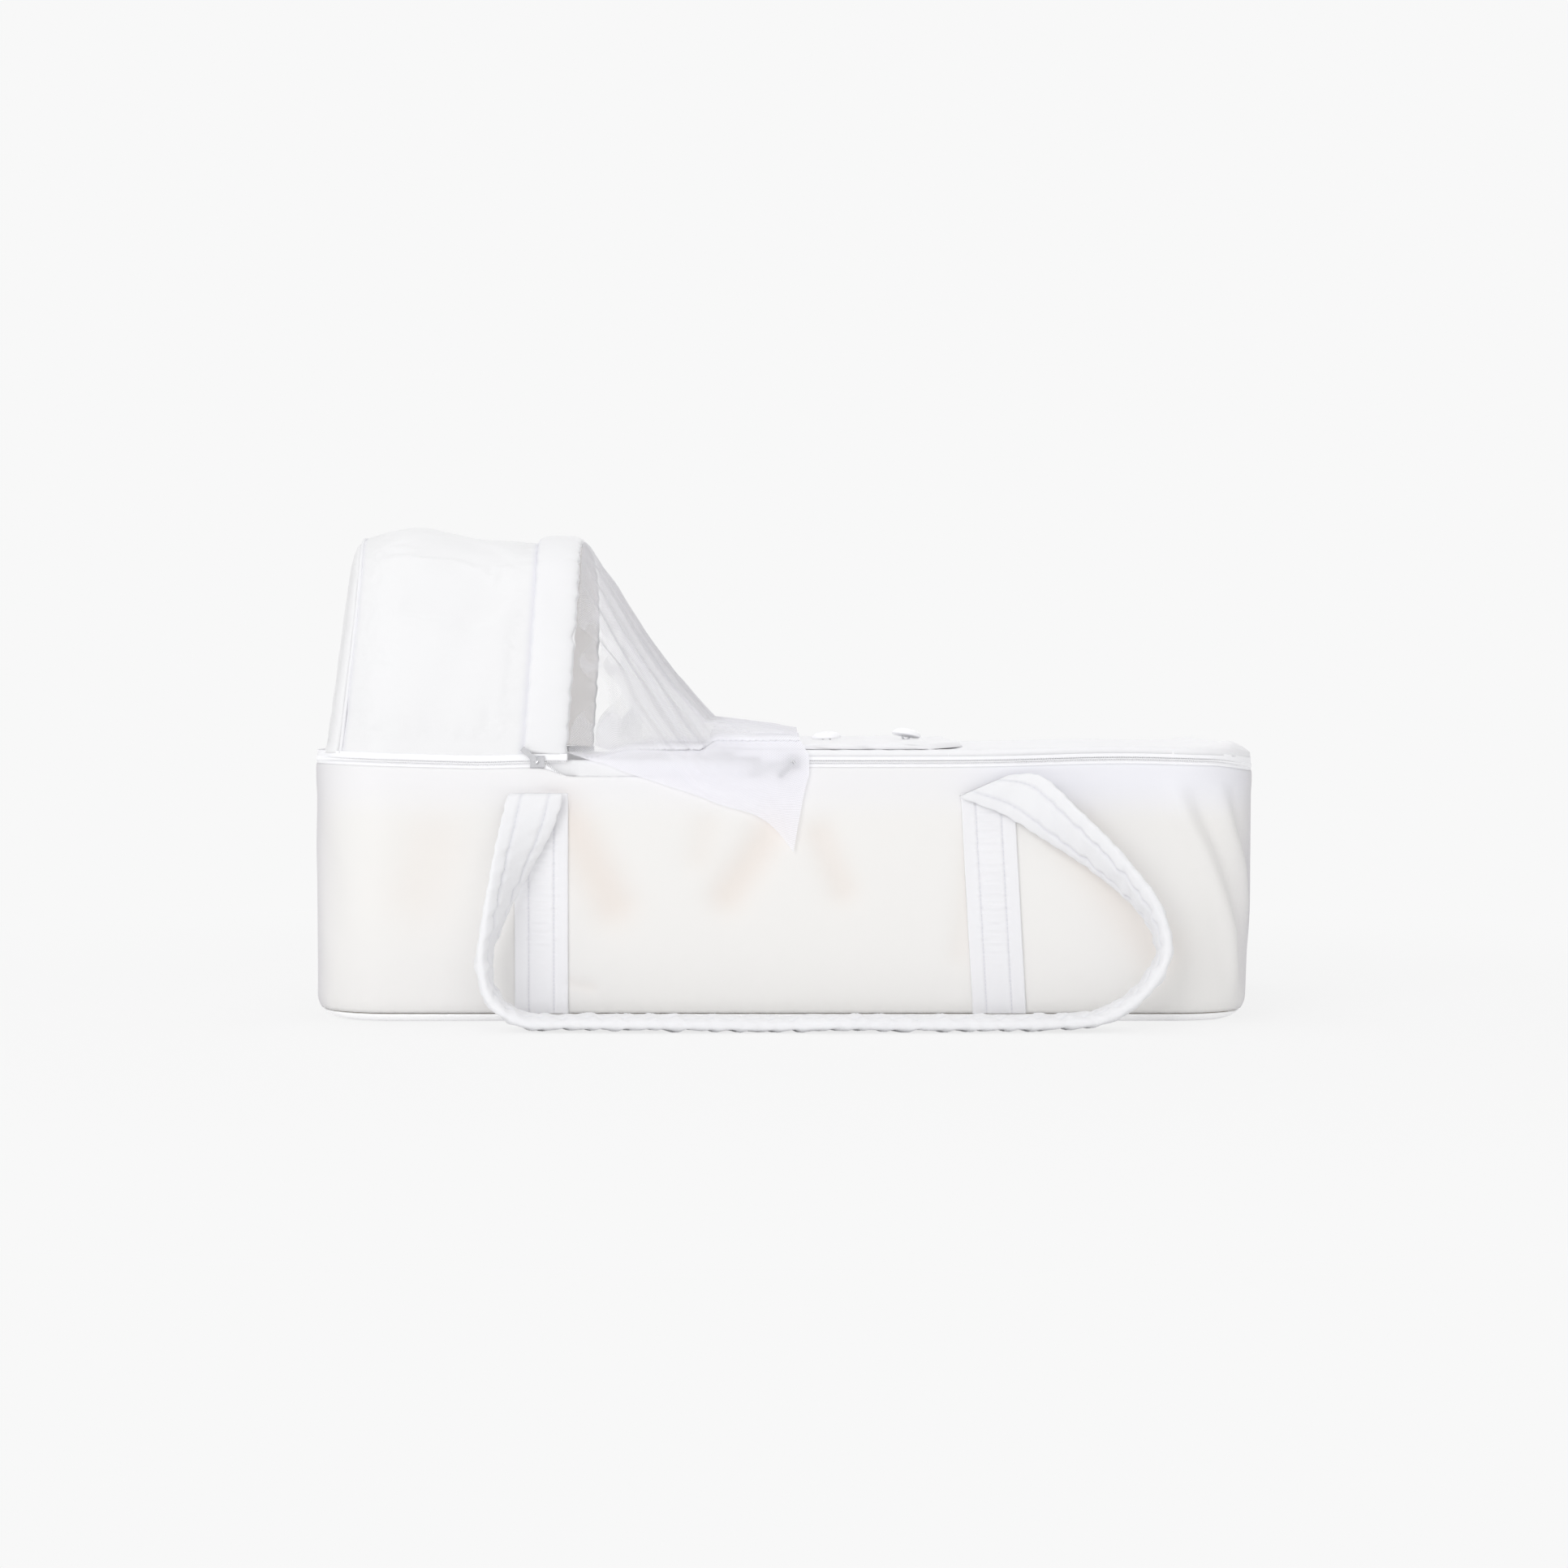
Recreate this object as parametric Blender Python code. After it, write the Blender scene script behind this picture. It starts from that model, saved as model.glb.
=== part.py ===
"""Portable baby bed: a soft carry cot with a zip-on hood, mosquito net, zip-on apron and two padded handles.

Metres, +Z up. The origin is the centre of the flat underside. +X points to the foot end, -Y is the near
side, as in the photograph.
Offsets are measured outward from the bed's side wall, so a negative offset lies inside the wall.
"""

import math

import bmesh
import bpy
import numpy as np
from mathutils import Matrix, Vector

MM = 0.001
SEAT = 0.3 * MM

# The bed
BED_LENGTH = 800 * MM
BED_WIDTH = 370 * MM
CORNER_RADIUS = 70 * MM
BOTTOM_EDGE_RADIUS = 20 * MM
BOTTOM_SEAM_HEIGHT = 8 * MM
COVER_HEIGHT = 205 * MM
COVER_THICKNESS = 2 * MM
FOAM_THICKNESS = 12 * MM
LINING_THICKNESS = 1.5 * MM
BOARD_THICKNESS = 4 * MM
MATTRESS_THICKNESS = 36 * MM
MATTRESS_CROWN = 4 * MM
RIM_HEIGHT = 15.5 * MM
RIM_STEP = 12 * MM

# The zips
CHAIN_LEVEL = 14 * MM
CHAIN_GAP = 1.0 * MM
CHAIN_WIDTH = 1.9 * MM
CHAIN_THICKNESS = 1.9 * MM
TAPE_THICKNESS = 0.8 * MM
UPPER_TAPE_WIDTH = 6.5 * MM
SLIDER_LENGTH = 12 * MM
SLIDER_WIDTH = 10 * MM
SLIDER_PLATE = 1.2 * MM
SLIDER_WEB = 0.4 * MM
PIN_RADIUS = 0.5 * MM
EYE_RADIUS = 1.3 * MM
EYE_WIDTH = 2.0 * MM
EAR_THICKNESS = 0.9 * MM
EAR_WIDTH = 2.4 * MM
EAR_RISE = 0.9 * MM
TAB_LENGTH = 17 * MM
TAB_WIDTH = 4.5 * MM
TAB_THICKNESS = 1.0 * MM
HOOD_SLIDER_X = -206 * MM
APRON_SLIDER_X = 8 * MM
HOOD_TAB_ANGLE = 137
APRON_TAB_ANGLE = 225

# The hood
HOOD_FRONT_X = -181 * MM
HOOD_REAR_DEPTH = 27 * MM
HOOD_HEIGHT = 182.5 * MM
HOOD_ARCH_POWER = 3.0
HOOD_FRONT_LEAN = 13 * MM
HOOD_REAR_LEAN = 22 * MM
HOOD_MIDDLE_LEAN = 4 * MM
HOOD_WALL = 5 * MM
HOOD_WAVE = 12 * MM
HOOD_CREST_DEPTH = 46 * MM
HOOD_CREST_LENGTH = 46 * MM
HOOD_BAND_RISE = 5.6 * MM
REAR_PANEL_THICKNESS = 6 * MM
REAR_PANEL_TOP_DEPTH = 8 * MM
PIPING_RADIUS = 2 * MM
BAND_WIDTH = 33 * MM
BAND_THICKNESS = 11 * MM
BAND_INSET = 4.5 * MM
BOW_RADIUS = 2.6 * MM
BOW_PLAY = 0.5 * MM
NET_BAND_WIDTH = 4 * MM
NET_BAND_THICKNESS = 2 * MM

# The net
NET_THICKNESS = 0.5 * MM
NET_HEM_X = 18 * MM
NET_SIDE_HEIGHT = 182 * MM
NET_TIP_HEIGHT = 144 * MM
NET_TIP_SLANT = 12 * MM
NET_FOLD_SHARE = 0.6
NET_FOLDS = 9
NET_FOLD_DEPTH = 3 * MM

# The apron
APRON_FRONT_X = -62 * MM
APRON_THICKNESS = 5 * MM
APRON_EDGE = 2.5 * MM
APRON_CROWN = 1 * MM
APRON_FOOT_CROWN = 5 * MM
APRON_ZIP_START_X = -20 * MM
FLAP_LENGTH = 214 * MM
FLAP_THICKNESS = 4.5 * MM
FOLD_RADIUS = 10 * MM
BUTTON_DIAMETER = 26 * MM
BUTTON_THICKNESS = 6.5 * MM
BUTTON_X = (37 * MM, 103 * MM)
BUTTON_TILT = (4, -9)
SHANK_RADIUS = 3.2 * MM
SHANK_WIRE = 0.8 * MM

# The handles and the straps that carry them; the unit is what their stations further down are given in
HANDLE_UNIT = 1 * MM
STRAP_WIDTH = 45 * MM
STRAP_THICKNESS = 2.5 * MM
STRAP_TOP = 193 * MM
HEAD_STRAP_X = -203 * MM
FOOT_STRAP_X = 170 * MM
FOOT_STRAP_LEAN = 11 * MM
HANDLE_WIDTH = 46 * MM
HANDLE_THICKNESS = 15 * MM
HANDLE_ROOT_THICKNESS = 6.5 * MM

# The lines that the moving pieces turn about
HINGE_OUT = 0.6 * MM
HANDLE_PIVOT_OUT = 14 * MM
HANDLE_PIVOT_Z = 203 * MM

# Levels and lines that the pieces share
RIM_TOP = COVER_HEIGHT + RIM_HEIGHT
CHAIN_Z = COVER_HEIGHT + CHAIN_LEVEL
LOWER_CHAIN_TOP = CHAIN_Z - CHAIN_GAP / 2
UPPER_CHAIN_BOTTOM = CHAIN_Z + CHAIN_GAP / 2
UPPER_TAPE_TOP = UPPER_CHAIN_BOTTOM + UPPER_TAPE_WIDTH
SHELL_BASE = UPPER_TAPE_TOP + SEAT
TAPE_OUT = -0.8 * MM
TAPE_IN = TAPE_OUT - TAPE_THICKNESS
CHAIN_IN = TAPE_IN - 0.1 * MM
CHAIN_OUT = CHAIN_IN + CHAIN_THICKNESS
FOAM_OUT = -COVER_THICKNESS - 2 * SEAT
FOAM_IN = FOAM_OUT - FOAM_THICKNESS
LINING_OUT = FOAM_IN - SEAT
LINING_IN = LINING_OUT - LINING_THICKNESS
ZIPPED_RIM_OUT = CHAIN_IN - SLIDER_PLATE - 2.4 * SEAT
OPEN_RIM_OUT = -0.4 * MM
HALF_LENGTH = BED_LENGTH / 2
HALF_WIDTH = BED_WIDTH / 2
CORNER_X = HALF_LENGTH - CORNER_RADIUS
CORNER_Y = HALF_WIDTH - CORNER_RADIUS
HOOD_REAR_X = -HALF_LENGTH + HOOD_REAR_DEPTH
HOOD_SEAM_X = HOOD_FRONT_X - NET_BAND_WIDTH - BAND_WIDTH
OPEN_RIM_MIDDLE = (HOOD_FRONT_X + APRON_ZIP_START_X) / 2
OPEN_RIM_HALF = (APRON_ZIP_START_X - HOOD_FRONT_X) / 2
FOLD_AXIS_X = APRON_FRONT_X + FOLD_RADIUS
FOLD_AXIS_Z = SHELL_BASE + APRON_THICKNESS + FOLD_RADIUS
CORNER_STEPS = 8

COLOURS = {
    "cover_satin": (0.90, 0.89, 0.87, 0.48, 0.0),
    "quilted_cotton": (0.92, 0.92, 0.93, 0.75, 0.0),
    "lining_cotton": (0.93, 0.93, 0.92, 0.85, 0.0),
    "foam": (0.88, 0.86, 0.78, 0.95, 0.0),
    "board": (0.45, 0.34, 0.22, 0.8, 0.0),
    "zip_tape": (0.92, 0.92, 0.95, 0.7, 0.0),
    "slider_metal": (0.86, 0.87, 0.88, 0.3, 1.0),
    "tulle": (0.90, 0.90, 0.93, 0.8, 0.0),
    "bow_wire": (0.7, 0.7, 0.72, 0.35, 1.0),
    "strap_cotton": (0.93, 0.92, 0.94, 0.8, 0.0),
    "button_cover": (0.93, 0.93, 0.94, 0.6, 0.0),
}


def clear_scene():
    for item in list(bpy.data.objects):
        bpy.data.objects.remove(item, do_unlink=True)


def material(name):
    found = bpy.data.materials.get(name)
    if found:
        return found
    red, green, blue, roughness, metallic = COLOURS[name]
    made = bpy.data.materials.new(name)
    made.use_nodes = True
    shader = made.node_tree.nodes["Principled BSDF"]
    shader.inputs["Base Color"].default_value = (red, green, blue, 1.0)
    shader.inputs["Roughness"].default_value = roughness
    shader.inputs["Metallic"].default_value = metallic
    return made


def add_object(name, verts, faces, colour, sharp=40):
    """A closed mesh object with its faces turned outward."""
    mesh = bpy.data.meshes.new(name)
    mesh.from_pydata([tuple(v) for v in verts], [], faces)
    work = bmesh.new()
    work.from_mesh(mesh)
    bmesh.ops.recalc_face_normals(work, faces=work.faces)
    work.to_mesh(mesh)
    work.free()
    mesh.materials.append(material(colour))
    mesh.shade_smooth()
    mesh.set_sharp_from_angle(angle=math.radians(sharp))
    made = bpy.data.objects.new(name, mesh)
    bpy.context.scene.collection.objects.link(made)
    return made


def grid_faces(rows, columns, wrap_rows=False, wrap_columns=False, start=0):
    """Quads over a grid of points stored row by row."""
    faces = []
    for i in range(rows if wrap_rows else rows - 1):
        for j in range(columns if wrap_columns else columns - 1):
            a = start + i * columns + j
            b = start + i * columns + (j + 1) % columns
            c = start + ((i + 1) % rows) * columns + (j + 1) % columns
            d = start + ((i + 1) % rows) * columns + j
            faces.append((a, b, c, d))
    return faces


def ring_solid(name, rings, colour, sharp=40):
    """A solid skinned over a stack of equal rings, with the first and the last ring filled."""
    rings = np.asarray(rings)
    count, size = rings.shape[:2]
    faces = grid_faces(count, size, wrap_columns=True)
    faces.append(tuple(range(size)))
    faces.append(tuple(range((count - 1) * size, count * size)))
    return add_object(name, rings.reshape(-1, 3), faces, colour, sharp=sharp)


def ring_loop(name, rings, colour, sharp=40):
    """A closed band: a profile carried once round a closed path."""
    rings = np.asarray(rings)
    faces = grid_faces(rings.shape[0], rings.shape[1], True, True)
    return add_object(name, rings.reshape(-1, 3), faces, colour, sharp=sharp)


def sheet_solid(name, top, bottom, colour, sharp=50):
    """A solid between two equal grids of points, closed round the four edges."""
    rows, columns = top.shape[:2]
    verts = np.concatenate([top.reshape(-1, 3), bottom.reshape(-1, 3)])
    half = rows * columns
    faces = grid_faces(rows, columns)
    faces += [tuple(reversed(f)) for f in grid_faces(rows, columns, start=half)]
    edge = list(range(columns))
    edge += [i * columns + columns - 1 for i in range(1, rows)]
    edge += [(rows - 1) * columns + j for j in range(columns - 2, -1, -1)]
    edge += [i * columns for i in range(rows - 2, 0, -1)]
    for k, a in enumerate(edge):
        b = edge[(k + 1) % len(edge)]
        faces.append((b, a, a + half, b + half))
    return add_object(name, verts, faces, colour, sharp=sharp)


def superellipse(half_x, half_y, power, count):
    """Points of |x/a|^p + |y/b|^p = 1, evenly spaced in angle."""
    angle = np.arange(count) / count * 2 * np.pi
    x = half_x * np.sign(np.cos(angle)) * np.abs(np.cos(angle)) ** (2 / power)
    y = half_y * np.sign(np.sin(angle)) * np.abs(np.sin(angle)) ** (2 / power)
    return np.stack([x, y], axis=1)


def outline(inset, x_low=-HALF_LENGTH, x_high=HALF_LENGTH):
    """The bed's plan as a rounded rectangle, moved inward by the inset, counter-clockwise."""
    radius = max(CORNER_RADIUS - inset, 4 * MM)
    centre_y = HALF_WIDTH - inset - radius
    centres = ((x_high - inset - radius, -centre_y, -90), (x_high - inset - radius, centre_y, 0),
               (x_low + inset + radius, centre_y, 90), (x_low + inset + radius, -centre_y, 180))
    points = []
    for x, y, start in centres:
        for k in range(CORNER_STEPS + 1):
            angle = math.radians(start + 90 * k / CORNER_STEPS)
            points.append((x + radius * math.cos(angle), y + radius * math.sin(angle)))
    return np.array(points)


def plan_ring(inset, z):
    flat = outline(inset)
    return np.column_stack([flat, np.full(len(flat), z)])


def end_path(end, straight_x, side_steps=3):
    """Points and outward directions of the wall line: near side, round one end of the bed, far side."""
    stops = np.linspace(straight_x, end * CORNER_X, side_steps)
    points = [(x, -HALF_WIDTH, 0.0, -1.0) for x in stops[:-1]]
    for k in range(2 * (CORNER_STEPS + 1)):
        corner, step = divmod(k, CORNER_STEPS + 1)
        angle = math.radians(-90 + 90 * step / CORNER_STEPS + 90 * corner)
        out_x, out_y = end * math.cos(angle), math.sin(angle)
        y = (-1 if corner == 0 else 1) * CORNER_Y
        points.append((end * CORNER_X + CORNER_RADIUS * out_x, y + CORNER_RADIUS * out_y, out_x, out_y))
    points += [(x, HALF_WIDTH, 0.0, 1.0) for x in stops[-2::-1]]
    return np.array(points)


def wall_strip(name, end, straight_x, profile, colour):
    """A strip with one profile of (offset, height) carried along the wall round one end of the bed."""
    rings = []
    for x, y, out_x, out_y in end_path(end, straight_x):
        rings.append([(x + out_x * out, y + out_y * out, z) for out, z in profile])
    return ring_solid(name, rings, colour)


def edge_arc(radius, z_from, z_to, steps):
    """(offset, height) points of the rounded bottom edge between two heights."""
    low = math.asin((z_from - BOTTOM_EDGE_RADIUS) / radius)
    high = math.asin(min((z_to - BOTTOM_EDGE_RADIUS) / radius, 0.0))
    centre = BOTTOM_EDGE_RADIUS
    angles = np.linspace(low, high, steps)
    return [(radius * math.cos(a) - centre, radius * math.sin(a) + centre) for a in angles]


def smooth(value):
    value = np.clip(value, 0.0, 1.0)
    return value * value * (3 - 2 * value)


def make_base():
    """Underside fabric with its turned-up edge, and the stiff board that lies in it."""
    skin = COVER_THICKNESS
    outer = edge_arc(BOTTOM_EDGE_RADIUS, 0.0, BOTTOM_SEAM_HEIGHT - SEAT, 5)
    inner = edge_arc(BOTTOM_EDGE_RADIUS - skin, skin, BOTTOM_SEAM_HEIGHT - SEAT, 5)
    rings = [plan_ring(-out, z) for out, z in outer + inner[::-1]]
    ring_solid("bottom_panel", rings, "cover_satin")
    board_inset = BOTTOM_EDGE_RADIUS - 1.5 * MM
    bottom = skin + 1.4 * SEAT
    edge = 0.8 * MM
    board = [plan_ring(board_inset + edge, bottom), plan_ring(board_inset, bottom + edge),
             plan_ring(board_inset, bottom + BOARD_THICKNESS - edge),
             plan_ring(board_inset + edge, bottom + BOARD_THICKNESS)]
    ring_solid("base_board", board, "board")
    return bottom + BOARD_THICKNESS


def make_walls(board_top):
    """Outer cover, foam wall and sewn lining tub, one inside the other."""
    low = BOTTOM_SEAM_HEIGHT + SEAT
    top = COVER_HEIGHT - SEAT
    outer = edge_arc(BOTTOM_EDGE_RADIUS, low, BOTTOM_EDGE_RADIUS, 4) + [(0.0, top)]
    inner = edge_arc(BOTTOM_EDGE_RADIUS - COVER_THICKNESS, low, BOTTOM_EDGE_RADIUS, 4)
    inner += [(-COVER_THICKNESS, top)]
    ring_loop("side_cover", [plan_ring(-out, z) for out, z in outer + inner[::-1]], "cover_satin")
    foam = edge_arc(BOTTOM_EDGE_RADIUS + FOAM_OUT, low + SEAT, BOTTOM_EDGE_RADIUS, 4)
    foam += [(FOAM_OUT, top), (FOAM_IN, top), (FOAM_IN, low + SEAT)]
    ring_loop("wall_foam", [plan_ring(-out, z) for out, z in foam], "foam")
    floor = board_top + SEAT
    tub = [plan_ring(-LINING_OUT, floor), plan_ring(-LINING_OUT, top),
           plan_ring(-LINING_IN, top), plan_ring(-LINING_IN, floor + LINING_THICKNESS)]
    ring_solid("inner_lining", tub, "lining_cotton")
    return floor + LINING_THICKNESS


def make_mattress(floor):
    """Thin padded mattress with drawn-in sides and a low crown."""
    low = floor + SEAT
    high = low + MATTRESS_THICKNESS
    fit = -LINING_IN + 2 * SEAT
    side_shape = ((6, 0.0), (1.5, 0.1), (0.3, 0.26), (0, 0.5), (0.3, 0.74), (1.5, 0.9), (6, 1.0))
    top_shape = ((22, 0.55), (55, 0.9), (110, 1.0))
    rings = [plan_ring(fit + inset * MM, low + share * (high - low)) for inset, share in side_shape]
    rings += [plan_ring(fit + inset * MM, high + share * MATTRESS_CROWN) for inset, share in top_shape]
    ring_solid("mattress", rings, "quilted_cotton")


def rim_outer(x):
    """Offset of the rim's outer face: full in the open stretch, drawn in behind the zips."""
    share = smooth((OPEN_RIM_HALF - RIM_STEP / 2 - abs(x - OPEN_RIM_MIDDLE)) / RIM_STEP)
    return ZIPPED_RIM_OUT + (OPEN_RIM_OUT - ZIPPED_RIM_OUT) * share


def make_rim():
    """Padded roll sewn round the top edge of the walls."""
    stations = []
    for end in (1, -1):
        path = end_path(end, OPEN_RIM_MIDDLE + end * (OPEN_RIM_HALF + 0.7 * RIM_STEP), 2)
        steps = [OPEN_RIM_MIDDLE + end * (OPEN_RIM_HALF - share * RIM_STEP) for share in (0.25, 0.75, 1.5)]
        near = [(x, -HALF_WIDTH, 0.0, -1.0) for x in steps[::-1]]
        far = [(x, HALF_WIDTH, 0.0, 1.0) for x in steps]
        turn = near + [tuple(p) for p in path] + far
        stations += turn if end > 0 else turn[::-1]
    rings = []
    for x, y, out_x, out_y in stations:
        outer = rim_outer(x)
        half = (outer - LINING_IN) / 2
        profile = superellipse(half, RIM_HEIGHT / 2 - SEAT / 2, 3.2, 14)
        centre_z = COVER_HEIGHT + RIM_HEIGHT / 2
        rings.append([(x + out_x * (outer - half + a), y + out_y * (outer - half + a), centre_z + b)
                      for a, b in profile])
    ring_loop("rim_roll", rings, "quilted_cotton")


def zip_profile(low, high, chain_at_top):
    """Tape with half a coil chain along one edge, as (offset, height) points."""
    if chain_at_top:
        edge = high - CHAIN_WIDTH
        return [(TAPE_IN, low), (TAPE_OUT, low), (TAPE_OUT, edge), (CHAIN_OUT, edge + 0.5 * MM),
                (CHAIN_OUT, high), (CHAIN_IN, high), (CHAIN_IN, edge)]
    edge = low + CHAIN_WIDTH
    return [(TAPE_IN, high), (TAPE_OUT, high), (TAPE_OUT, edge), (CHAIN_OUT, edge - 0.5 * MM),
            (CHAIN_OUT, low), (CHAIN_IN, low), (CHAIN_IN, edge)]


def make_zips():
    """Two open-ended zips: one carries the hood, the other the apron."""
    lower = zip_profile(COVER_HEIGHT, LOWER_CHAIN_TOP, True)
    upper = zip_profile(UPPER_CHAIN_BOTTOM, UPPER_TAPE_TOP, False)
    wall_strip("hood_zip_lower", -1, HOOD_FRONT_X, lower, "zip_tape")
    wall_strip("hood_zip_upper", -1, HOOD_FRONT_X, upper, "zip_tape")
    wall_strip("apron_zip_lower", 1, APRON_ZIP_START_X, lower, "zip_tape")
    wall_strip("apron_zip_upper", 1, APRON_ZIP_START_X, upper, "zip_tape")


def hood_half_width(x):
    """Half width of the hood's foot at a station, following the rounded corner of the rim."""
    reach = CORNER_RADIUS + TAPE_OUT
    past = np.maximum(-CORNER_X - x, 0.0)
    return CORNER_Y + np.sqrt(reach ** 2 - past ** 2)


def hood_top(x):
    """Height of the hood above its foot: a low hump near the rear, and a small step up at the front band."""
    hump = HOOD_WAVE * np.exp(-((x - HOOD_REAR_X - HOOD_CREST_DEPTH) / HOOD_CREST_LENGTH) ** 2)
    band_share = smooth((x - HOOD_SEAM_X) / (BAND_WIDTH / 3))
    return HOOD_HEIGHT + hump + HOOD_BAND_RISE * band_share


def hood_lean(x_base, across, rise):
    """How far forward a point of the hood leans, from its shares of the half width and of the height.

    The rear leans more than the front, and the middle least, so the seams curve back over the top.
    """
    share = np.clip((x_base - HOOD_REAR_X) / (HOOD_SEAM_X - HOOD_REAR_X), 0, 1)
    side_lean = HOOD_REAR_LEAN + (HOOD_FRONT_LEAN - HOOD_REAR_LEAN) * share
    return rise * (HOOD_MIDDLE_LEAN + (side_lean - HOOD_MIDDLE_LEAN) * across ** 2)


def hood_arch(x_base, inset, count):
    """Points of one leaning arch: a superellipse from the near foot over the top to the far foot."""
    angle = np.linspace(0, np.pi, count)
    width = hood_half_width(x_base) - inset
    height = hood_top(x_base) - inset
    power = 2 / HOOD_ARCH_POWER
    y = -width * np.sign(np.cos(angle)) * np.abs(np.cos(angle)) ** power
    z = height * np.abs(np.sin(angle)) ** power
    lean = hood_lean(x_base, y / width, z / height)
    return np.stack([x_base + lean, y, SHELL_BASE + z], axis=1)


def arch_shell(name, x_from, x_to, inset, thickness, colour, steps=6, count=25):
    stations = np.linspace(x_from, x_to, steps)
    outer = np.array([hood_arch(x, inset, count) for x in stations])
    inner = np.array([hood_arch(x, inset + thickness, count) for x in stations])
    sheet_solid(name, outer, inner, colour)


def arch_tube(name, x_base, inset, profile, colour, bore=None, count=25):
    """A section of (along the bed, outward) points carried over the hood's arch, solid or with a bore."""
    line = hood_arch(x_base, inset, count)
    run = np.gradient(line[:, 1:], axis=0)
    run /= np.linalg.norm(run, axis=1)[:, None]
    run[0] = (0.0, 1.0)
    run[-1] = (0.0, -1.0)
    outward = np.stack([np.zeros(count), -run[:, 1], run[:, 0]], axis=1)
    along = np.array([1.0, 0.0, 0.0])
    loops = [profile] if bore is None else [profile, bore]
    skins = [np.array([p + along * a + o * b for p, o in zip(line, outward) for a, b in loop])
             for loop in loops]
    size = len(profile)
    if bore is None:
        rings = skins[0].reshape(count, size, 3)
        return ring_solid(name, rings, colour)
    verts = np.concatenate(skins)
    half = count * size
    faces = grid_faces(count, size, wrap_columns=True)
    faces += [tuple(reversed(f)) for f in grid_faces(count, size, wrap_columns=True, start=half)]
    for row in (0, count - 1):
        for j in range(size):
            a, b = row * size + j, row * size + (j + 1) % size
            faces.append((b, a, a + half, b + half))
    return add_object(name, verts, faces, colour)


def make_rear_panel():
    """Crowned panel that closes the head end of the hood, a fan of rings about the middle of its foot."""
    seam_gap = PIPING_RADIUS + SEAT
    edge = 2 * MM
    reach = HOOD_REAR_DEPTH - HINGE_OUT
    arch = hood_arch(HOOD_REAR_X, HOOD_WALL * 0.3, 21)
    foot = np.array([HOOD_REAR_X, 0.0, SHELL_BASE])
    back = np.array([1.0, 0.0, 0.0])
    middle = foot - back * reach * 0.99
    outer = [np.tile(middle, (len(arch), 1))]
    inner = [np.tile(middle + back * REAR_PANEL_THICKNESS, (len(arch), 1))]
    for share in (0.3, 0.55, 0.75, 0.9, 1.0):
        row = foot + (arch - foot) * share
        rise = (row[:, 2] - SHELL_BASE) / HOOD_HEIGHT
        depth = REAR_PANEL_TOP_DEPTH + (0.62 * HOOD_REAR_DEPTH - REAR_PANEL_TOP_DEPTH) * (1 - rise)
        flare = 0.38 * reach * np.clip(1 - rise / 0.07, 0, 1) ** 2
        crown = depth + flare - seam_gap - 1.5 * MM
        round_off = math.sqrt(max(1 - share ** 5, 0.0))
        full = seam_gap + edge + np.maximum(crown - edge, 0) * round_off
        hollow = seam_gap + np.maximum(crown - REAR_PANEL_THICKNESS, 0) * round_off
        outer.append(row - np.outer(full, back))
        inner.append(row - np.outer(hollow, back))
    made = sheet_solid("hood_rear_panel", np.array(outer), np.array(inner), "quilted_cotton")
    merge_close_points(made)


def merge_close_points(item, distance=0.00001):
    work = bmesh.new()
    work.from_mesh(item.data)
    bmesh.ops.remove_doubles(work, verts=work.verts, dist=distance)
    bmesh.ops.dissolve_degenerate(work, edges=work.edges, dist=distance)
    bmesh.ops.recalc_face_normals(work, faces=work.faces)
    work.to_mesh(item.data)
    work.free()


def make_hood():
    """Padded canopy with its lining, rear panel, piped seam, and a front band that holds a sprung bow."""
    band_front = HOOD_FRONT_X - NET_BAND_WIDTH - SEAT
    band_middle = band_front - BAND_WIDTH / 2
    canopy_front = band_front - BAND_WIDTH - 2 * SEAT
    canopy_rear = HOOD_REAR_X + PIPING_RADIUS + SEAT
    lining_inset = HOOD_WALL + SEAT
    arch_shell("hood_canopy", canopy_rear, canopy_front, 0.0, HOOD_WALL, "cover_satin")
    arch_shell("hood_lining", canopy_rear, canopy_front, lining_inset, LINING_THICKNESS, "lining_cotton")
    make_rear_panel()
    piping = superellipse(PIPING_RADIUS, PIPING_RADIUS, 2, 8)
    arch_tube("hood_rear_piping", HOOD_REAR_X, PIPING_RADIUS * 0.5, piping, "quilted_cotton")
    band = superellipse(BAND_WIDTH / 2, BAND_THICKNESS / 2, 3, 12)
    bore = superellipse(BOW_RADIUS + BOW_PLAY, BOW_RADIUS + BOW_PLAY, 2, 12)
    arch_tube("hood_front_band", band_middle, BAND_INSET, band, "quilted_cotton", bore)
    arch_tube("hood_bow", band_middle, BAND_INSET, superellipse(BOW_RADIUS, BOW_RADIUS, 2, 8), "bow_wire")
    strip = superellipse(NET_BAND_WIDTH / 2, NET_BAND_THICKNESS / 2, 4, 8)
    arch_tube("net_band", HOOD_FRONT_X - NET_BAND_WIDTH / 2, BAND_INSET, strip, "quilted_cotton")


def blend_points(keys, shares, values):
    """Smooth line through key points placed at given shares."""
    keys = np.asarray(keys, dtype=float)
    slopes = np.gradient(keys, shares, axis=0)
    at = np.clip(np.searchsorted(shares, values, side="right") - 1, 0, len(shares) - 2)
    width = (shares[at + 1] - shares[at])[:, None]
    t = (values - shares[at])[:, None] / width
    left = (2 * t ** 3 - 3 * t ** 2 + 1) * keys[at] + (t ** 3 - 2 * t ** 2 + t) * width * slopes[at]
    right = (3 * t ** 2 - 2 * t ** 3) * keys[at + 1] + (t ** 3 - t ** 2) * width * slopes[at + 1]
    return left + right


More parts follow.
